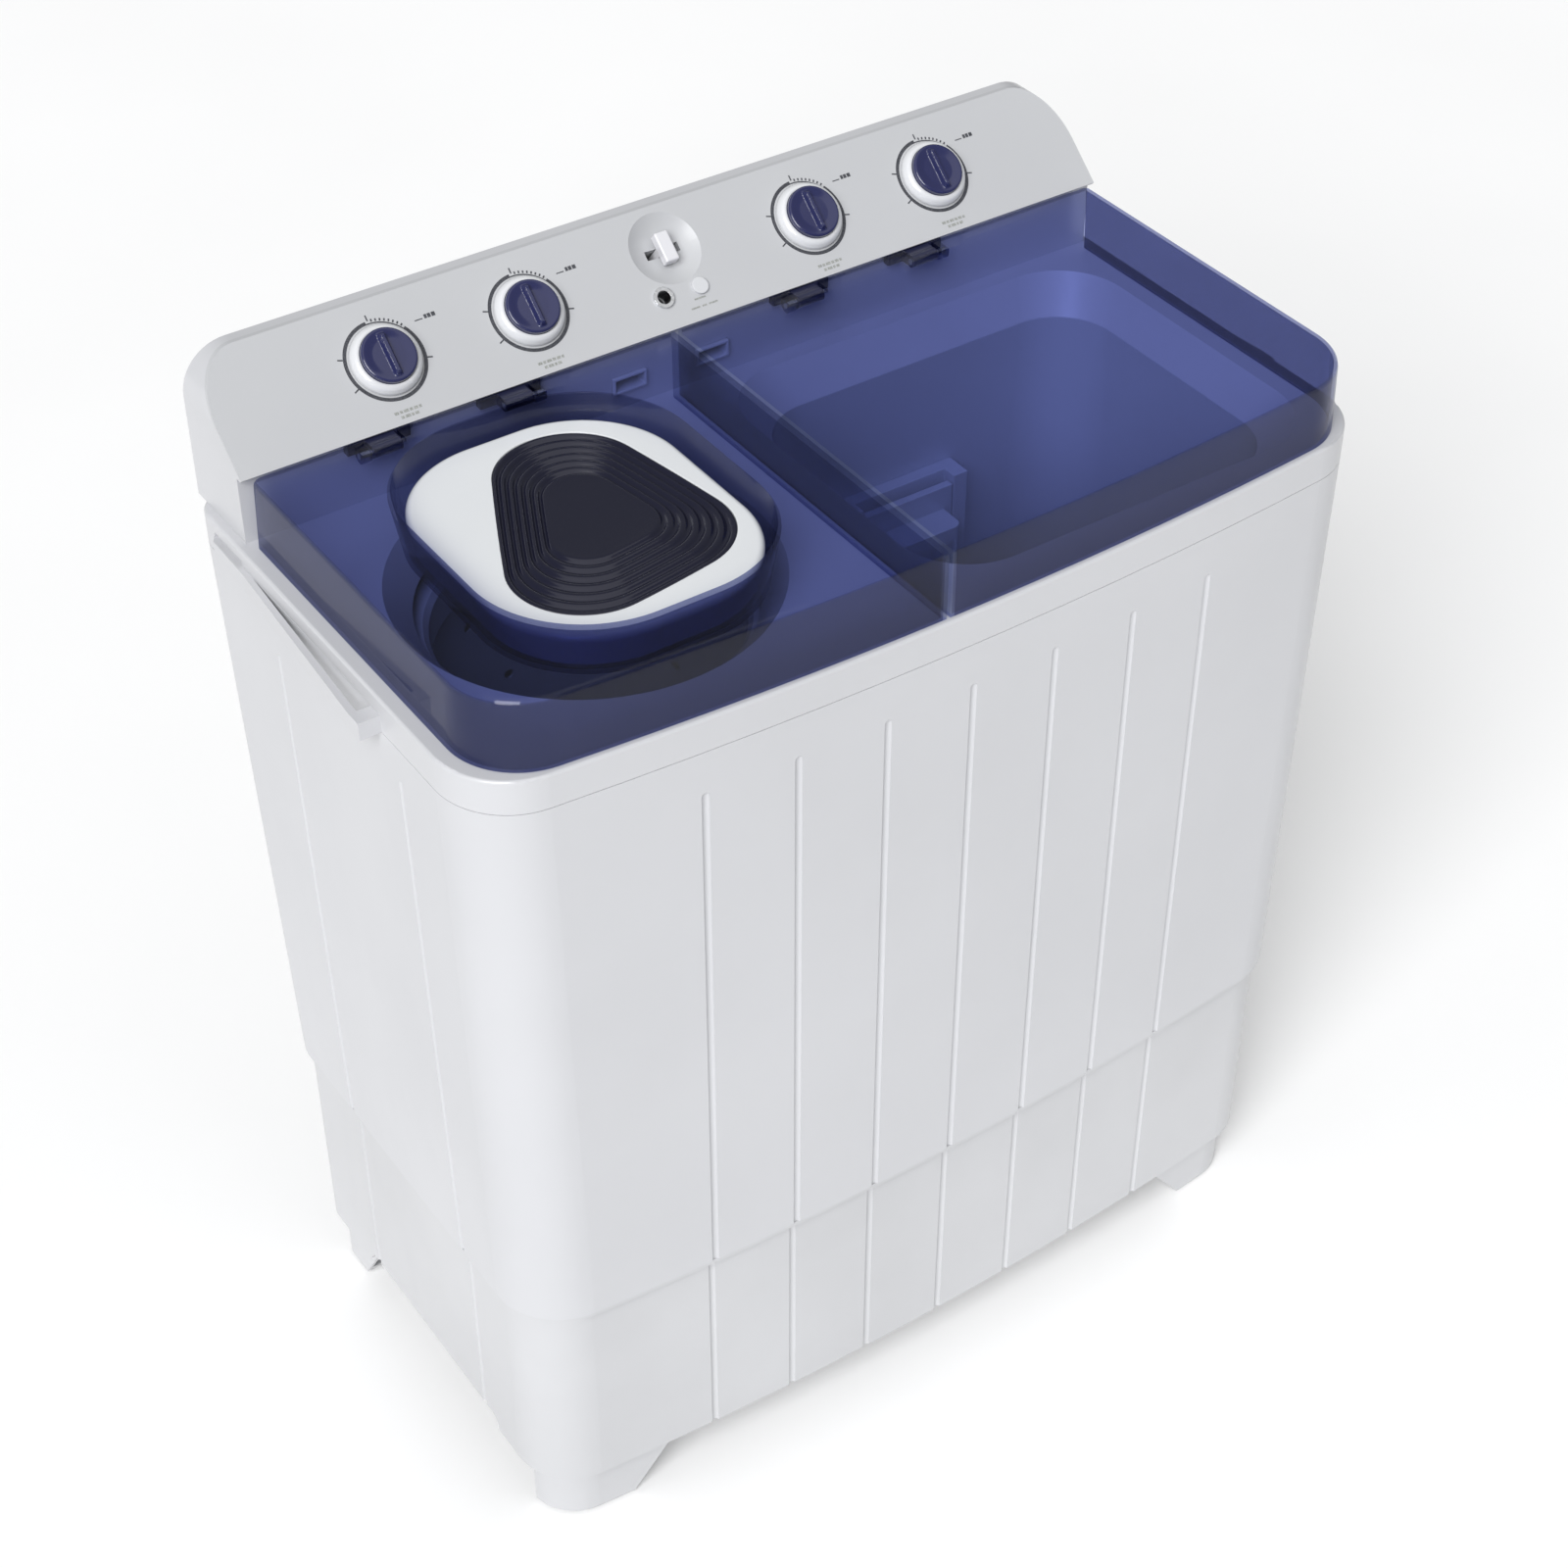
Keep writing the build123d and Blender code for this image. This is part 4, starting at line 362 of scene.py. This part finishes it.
def floor_paper(name):
    finish = Finish(name, (0.93, 0.93, 0.93), 0.75)
    finish.feed("Base Color", finish.mix(finish.remap(finish.noise(1.2, 3.0), 0.0, 1.0),
                                         (0.92, 0.92, 0.92), (0.94, 0.94, 0.94)))
    finish.relief(finish.noise(180.0, 4.0), 0.00006)
    return finish.material


made_materials = {}


def material(name, maker=None):
    """The finish of that name, made once."""
    if name not in made_materials:
        made_materials[name] = (maker or FINISHES[name])(name + "_look")
    return made_materials[name]


def paint_cad_nodes():
    for entry in frame["record"]["subparts"]:
        node = nodes[entry["node"]]
        for holder in node.material_slots:
            holder.material = material(entry["material_slot"])


# ---------------------------------------------------------------- mesh helpers
def add_piece(name, mesh_data, body, finish, place=Matrix.Identity(4), crease=35.0):
    """Object from (vertices, faces), smooth except at creases, that rides on a CAD body."""
    vertices, faces = mesh_data
    mesh = bpy.data.meshes.new(name)
    mesh.from_pydata([place @ Vector(v) for v in vertices], [], faces)
    shape = bmesh.new()
    shape.from_mesh(mesh)
    bmesh.ops.remove_doubles(shape, verts=shape.verts, dist=1e-7)
    bmesh.ops.recalc_face_normals(shape, faces=shape.faces)
    shape.to_mesh(mesh)
    shape.free()
    mesh.shade_smooth()
    mesh.set_sharp_from_angle(angle=radians(crease))
    piece = bpy.data.objects.new(name, mesh)
    bpy.context.scene.collection.objects.link(piece)
    piece.data.materials.append(finish)
    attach(piece, body)
    return piece


def joined(parts):
    """Several (vertices, faces) as one."""
    vertices, faces = [], []
    for part_vertices, part_faces in parts:
        start = len(vertices)
        vertices += part_vertices
        faces += [tuple(start + i for i in face) for face in part_faces]
    return vertices, faces


def stacked_loops(loops, close_first=True, close_last=True):
    """Skin over closed loops of equal length."""
    count = len(loops[0])
    vertices = [point for loop in loops for point in loop]
    faces = []
    for row in range(len(loops) - 1):
        for k in range(count):
            after = (k + 1) % count
            faces.append((row * count + k, row * count + after,
                          (row + 1) * count + after, (row + 1) * count + k))
    if close_first:
        faces.append(tuple(range(count - 1, -1, -1)))
    if close_last:
        last = (len(loops) - 1) * count
        faces.append(tuple(last + k for k in range(count)))
    return vertices, faces


def ring_of(radius, height, steps):
    return [(radius * cos(tau * k / steps), radius * sin(tau * k / steps), height)
            for k in range(steps)]


def turned(profile, steps=120):
    """Closed ring turned from a closed (radius, height) profile."""
    loops = [ring_of(radius, height, steps) for radius, height in profile + profile[:1]]
    return stacked_loops(loops, False, False)


def rounded_profile(corners, steps=5):
    """(radius, height) profile; each corner is (radius, height, rounding)."""
    points = []
    for k, (x, y, r) in enumerate(corners):
        if r <= 0:
            points.append((x, y))
            continue
        here = Vector((x, y))
        before = Vector(corners[k - 1][:2]) - here
        after = Vector(corners[(k + 1) % len(corners)][:2]) - here
        start = here + before.normalized() * r
        end = here + after.normalized() * r
        for step in range(steps + 1):
            t = step / steps
            bend = start * (1 - t) ** 2 + here * 2 * t * (1 - t) + end * t ** 2
            points.append((bend.x, bend.y))
    return points


def prism(outline, low, high):
    """Upright solid over a closed outline of (x, y) points."""
    return stacked_loops([[(x, y, low) for x, y in outline], [(x, y, high) for x, y in outline]])


def arc_band(inner, outer, start, end, low, high, step=3.0):
    """Flat band round the origin; angles in degrees clockwise from the +Y direction."""
    count = max(2, int(abs(end - start) / step) + 1)
    angles = [radians(start + (end - start) * k / (count - 1)) for k in range(count)]
    outline = [(outer * sin(a), outer * cos(a)) for a in angles]
    outline += [(inner * sin(a), inner * cos(a)) for a in reversed(angles)]
    vertices = [(x, y, z) for z in (low, high) for x, y in outline]
    total = 2 * count
    faces = []
    for k in range(count - 1):
        other = total - 1 - k
        faces.append((k, k + 1, other - 1, other))
        faces.append((total + other, total + other - 1, total + k + 1, total + k))
    for k in range(total):
        after = (k + 1) % total
        faces.append((k, k + total, after + total, after))
    return vertices, faces


def bar(x, y, width, height, low, high, turn=0.0):
    """Small flat bar centred at (x, y); turn in degrees clockwise."""
    a = radians(-turn)
    outline = [(x + u * cos(a) - v * sin(a), y + u * sin(a) + v * cos(a))
               for u, v in ((-width / 2, -height / 2), (width / 2, -height / 2),
                            (width / 2, height / 2), (-width / 2, height / 2))]
    return prism(outline, low, high)


def smoothstep(low, high, value):
    t = min(1.0, max(0.0, (value - low) / (high - low)))
    return t * t * (3 - 2 * t)


# ---------------------------------------------------------------- knobs and their dials
turn_axis = Vector(joints["wash_timer_turn"]["axis"])
FACE_OUT = -turn_axis
FACE_UP = Vector((0, FACE_OUT.z, -FACE_OUT.y))
KNOBS = {name: Vector(joints[name + "_turn"]["pos_m"])
         for name in ("wash_timer", "spin_timer", "wash_selector", "drain_selector")}
KNOB_S = 50 * MM                  # distance of the knob centres from the lower edge of the face
knob_line = next(iter(KNOBS.values()))
face_foot = Vector((0, knob_line.y, knob_line.z)) - FACE_UP * KNOB_S


def face_place(x, s):
    """Frame on the sloping face: x across, y up the slope, z out of the face."""
    origin = face_foot + Vector((x, 0, 0)) + FACE_UP * s
    axes = Matrix((Vector((1, 0, 0)), FACE_UP, FACE_OUT)).transposed().to_4x4()
    return Matrix.Translation(origin) @ axes


CAP_R = 21.5 * MM
STEM_R = 3.0 * MM
STEM_TOP = 4.7 * MM
STEM_DEPTH = 28.0 * MM


def knob_skirt():
    corners = [(21.7, 4.7, 0), (21.7, 8.3, 0.5), (23.6, 8.6, 1.2), (26.2, 6.9, 1.6),
               (28.0, 3.0, 1.4), (28.0, 0.6, 0.3), (3.0, 0.6, 0), (3.0, 4.7, 0)]
    return turned([(r * MM, h * MM) for r, h in rounded_profile(corners)], 144)


def knob_stem():
    """Round stem that goes down through the face, chamfered at its lower end."""
    return turned([(0.0, STEM_TOP), (0.0, -STEM_DEPTH), (STEM_R - 0.3 * MM, -STEM_DEPTH),
                   (STEM_R, 0.4 * MM - STEM_DEPTH), (STEM_R, STEM_TOP)], 48)


def knob_cap():
    """Disc with a rounded rim, a shallow hollow and a bar to hold it by."""
    rim_h, rim_round, steps = 12.8 * MM, 1.8 * MM, 144
    bar_half, bar_length, bar_rise = 3.6 * MM, 18.0 * MM, 4.2 * MM

    def top(x, y, r):
        level = rim_h - 1.1 * MM * (1 - smoothstep(0.55, 0.97, r / CAP_R))
        if r > CAP_R - rim_round:
            over = (r - CAP_R + rim_round) / rim_round
            level -= rim_round * (1 - (1 - over * over) ** 0.5)
        across = 1 - smoothstep(0.35, 1.0, abs(x) / bar_half)
        along = 1 - smoothstep(0.80, 1.0, abs(y) / bar_length)
        return level + bar_rise * across * along

    radii = [CAP_R * k / 60 for k in range(1, 56)]
    radii += [CAP_R - rim_round * (1 - sin(pi / 2 * k / 8)) for k in range(1, 9)]
    loops = []
    for r in radii:
        loops.append([(r * cos(a), r * sin(a), top(r * cos(a), r * sin(a), min(r, CAP_R * 0.99999)))
                      for a in (tau * k / steps for k in range(steps))])
    loops.append(ring_of(CAP_R, STEM_TOP, steps))
    loops = [ring_of(0.2 * MM, top(0, 0, 0), steps)] + loops
    return stacked_loops(loops)


RING_IN, RING_OUT = 29.4 * MM, 32.2 * MM
INK_LOW, INK_HIGH = 0.02 * MM, 0.14 * MM


def dial_marks():
    """Printed ring, fine scale and ticks; angles clockwise from the top of the dial."""
    parts = [arc_band(RING_IN, RING_OUT, 52, 356, INK_LOW, INK_HIGH)]
    parts.append(arc_band(RING_IN, RING_IN + 1.0 * MM, -4, 52, INK_LOW, INK_HIGH))
    for k in range(8):
        angle = 4 + 6 * k
        parts.append(arc_band(RING_IN + 1.6 * MM, RING_OUT + 0.9 * MM, angle, angle + 2.2,
                              INK_LOW, INK_HIGH, 1.0))
    for angle, reach in ((0, 4.6), (288, 4.2), (244, 4.2), (104, 4.2)):
        a = radians(angle)
        middle = RING_OUT + reach / 2 * MM
        parts.append(bar(middle * sin(a), middle * cos(a), 1.1 * MM, reach * MM,
                         INK_LOW, INK_HIGH, angle))
    parts.append(bar(37.5 * MM, 21.0 * MM, 6.5 * MM, 0.8 * MM, INK_LOW, INK_HIGH))
    for x, width in ((43.6, 2.2), (46.6, 2.6), (50.2, 3.0)):
        parts.append(bar(x * MM, 22.0 * MM, width * MM, 3.2 * MM, INK_LOW, INK_HIGH))
    return joined(parts)


def caption_marks():
    """Rows of short bars where the caption under a dial is printed."""
    parts = []
    for row, widths in ((-40.6, (3.4, 2.2, 4.0, 2.6, 3.2, 2.0)), (-44.6, (2.4, 4.2, 2.0, 3.0))):
        x = -sum(widths) / 2 - 0.5 * len(widths)
        for width in widths:
            parts.append(bar((x + width / 2) * MM, row * MM, width * MM, 2.2 * MM,
                             INK_LOW, INK_HIGH))
            x += width + 1.0
    return joined(parts)


def make_knobs():
    for name, centre in KNOBS.items():
        place = face_place(centre.x, KNOB_S)
        body = name + "_knob"
        skirt = add_piece(name + "_collar", knob_skirt(), body, material("knob_white"),
                          place)
        stem = add_piece(name + "_stem", knob_stem(), body, material("knob_white"), place)
        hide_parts(name + "_skirt")
        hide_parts(name + "_skirt")
        cap = add_piece(name + "_grip", knob_cap(), body, material("knob_blue"), place)
        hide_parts(name + "_cap")
        add_piece(name + "_dial", dial_marks(), "cabinet", material("dial_ink", dial_ink),
                  place)
        add_piece(name + "_caption", caption_marks(), "cabinet", material("pale_ink", pale_ink),
                  place)


def make_port_marks():
    """Two small printed rows beside the inlet ports."""
    parts = []
    for s, spans in ((17.0, ((4, 14),)), (10.5, ((-2, 6), (8, 12), (14, 22)))):
        for low, high in spans:
            parts.append(bar((low + high) / 2 * MM, s * MM, (high - low) * MM, 1.3 * MM,
                             INK_LOW, INK_HIGH))
    add_piece("port_caption", joined(parts), "cabinet", material("pale_ink", pale_ink),
              face_place(0, 0))


# ---------------------------------------------------------------- washboard pad
PAD_CORNERS = ((-158.0, 193.0), (-319.0, -134.0), (-100.0, -105.0))
PAD_CORNER_R = 57.0
PAD_BULGE = 6.0
pad_mid = sum((Vector(p) for p in PAD_CORNERS), Vector((0, 0))) / 3


def swept_arc(centre, start, end, steps):
    """Points of the arc about centre from start to end."""
    first, last = start - centre, end - centre
    turn = first.angle(last)
    return [centre + (first * sin((1 - t) * turn) + last * sin(t * turn)) / sin(turn)
            for t in (step / steps for step in range(steps))]


def bulging_side(start, end):
    """Centre and radius of the arc that swells PAD_BULGE out from the side of the triangle."""
    middle = (start + end) / 2
    top = middle + (middle - pad_mid).normalized() * PAD_BULGE
    chords = Matrix((2 * (top - start), 2 * (end - start)))
    centre = chords.inverted() @ Vector((top.length_squared - start.length_squared,
                                         end.length_squared - start.length_squared))
    return centre, (start - centre).length


def rounding_centre(corner, before, after):
    """Centre of the corner arc that touches both bulging sides from inside."""
    (c0, r0), (c1, r1) = before, after
    r0, r1 = r0 - PAD_CORNER_R, r1 - PAD_CORNER_R
    gap = c1 - c0
    along = (r0 * r0 - r1 * r1 + gap.length_squared) / (2 * gap.length)
    across = (r0 * r0 - along * along) ** 0.5
    foot = c0 + gap.normalized() * along
    normal = Vector((-gap.y, gap.x)).normalized() * across
    return min((foot + normal, foot - normal), key=lambda p: (p - corner).length)


def pad_outline(arc_steps=30, side_steps=44):
    """Outline of the three-cornered pad, in mm."""
    corners = [Vector(p) for p in PAD_CORNERS]
    sides = [bulging_side(corners[k], corners[(k + 1) % 3]) for k in range(3)]
    centres = [rounding_centre(corners[k], sides[k - 1], sides[k]) for k in range(3)]

    def touch(corner, side):
        out = (centres[corner] - sides[side][0]).normalized()
        return centres[corner] + out * PAD_CORNER_R

    outline = []
    for k in range(3):
        outline += swept_arc(centres[k], touch(k, k - 1), touch(k, k), arc_steps)
        outline += swept_arc(sides[k][0], touch(k, k), touch((k + 1) % 3, k), side_steps)
    return outline


pad_edge = pad_outline()


def pad_loop(scale):
    """The outline of the pad drawn in towards its middle."""
    return [pad_mid + (p - pad_mid) * scale for p in pad_edge]


def make_scrub_pad():
    """Rounded rim, ridges that run round the pad and a flat middle."""
    low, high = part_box("scrub_pad")
    shoulder, ridge_depth = 1.6 * MM, 2.3 * MM
    ridges, ridge_steps = 6, 12
    rim_scale, middle_scale = 0.978, 0.46
    levels = [(1.0, low.z + 0.2 * MM)]
    for k in range(7):
        a = pi / 2 * k / 6
        levels.append((1.0 - (1.0 - rim_scale) * (1 - cos(a)), high.z - shoulder * (1 - sin(a))))
    for ridge in range(ridges):
        for k in range(1, ridge_steps + 1):
            t = k / ridge_steps
            scale = rim_scale - (rim_scale - middle_scale) * (ridge + t) / ridges
            dip = 0.5 - 0.5 * cos(tau * t)
            levels.append((scale, high.z - ridge_depth * dip ** 1.6))
    for k in range(1, 4):
        levels.append((middle_scale * (1 - k / 3 * 0.12), high.z - 0.25 * MM * k / 3))
    loops = [[(p.x * MM, p.y * MM, z) for p in pad_loop(scale)] for scale, z in levels]
    pad = add_piece("washboard_pad", stacked_loops(loops), "spin_lid", material("pad_navy"),
                    crease=60.0)
    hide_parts("scrub_pad")


# ---------------------------------------------------------------- lint filter net
def block(low, high):
    """Box between two opposite corners."""
    outline = ((low[0], low[1]), (high[0], low[1]), (high[0], high[1]), (low[0], high[1]))
    return prism(outline, low[2], high[2])


def make_filter_net():
    """Square net across the pouch of the lint filter."""
    low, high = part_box("lint_filter")
    frame_side, frame_top, frame_foot = 14 * MM, 34 * MM, 14 * MM
    left, right = low.x + frame_side, high.x - frame_side
    bottom, top = low.z + frame_foot, high.z - frame_top
    thread, pitch = 0.5 * MM, 4.0 * MM
    front, back = low.y, low.y + thread
    parts = []
    x = left
    while x < right:
        parts.append(block((x, front, bottom), (x + thread, back, top)))
        x += pitch
    z = bottom
    while z < top:
        parts.append(block((left, front, z), (right, back, z + thread)))
        z += pitch
    add_piece("lint_net", joined(parts), "lint_filter", material("net_cloth", net_cloth))


def make_floor():
    mesh = bpy.data.meshes.new("floor")
    z = cad_low.z - 0.2 * MM
    corners = [(x * FLOOR_HALF, y * FLOOR_HALF, z) for x, y in ((-1, -1), (1, -1), (1, 1), (-1, 1))]
    mesh.from_pydata(corners, [], [(0, 1, 2, 3)])
    floor = bpy.data.objects.new("floor", mesh)
    bpy.context.scene.collection.objects.link(floor)
    floor.data.materials.append(material("floor_paper", floor_paper))


bpy.context.scene.view_settings.view_transform = "Standard"
add_camera()
add_world()
add_broad_light("key", azimuth=-50, elevation=38, spread=40, strength=3.4)
add_broad_light("top", azimuth=0, elevation=84, spread=70, strength=0.6)
make_floor()
paint_cad_nodes()
make_knobs()
make_port_marks()
make_scrub_pad()
make_filter_net()
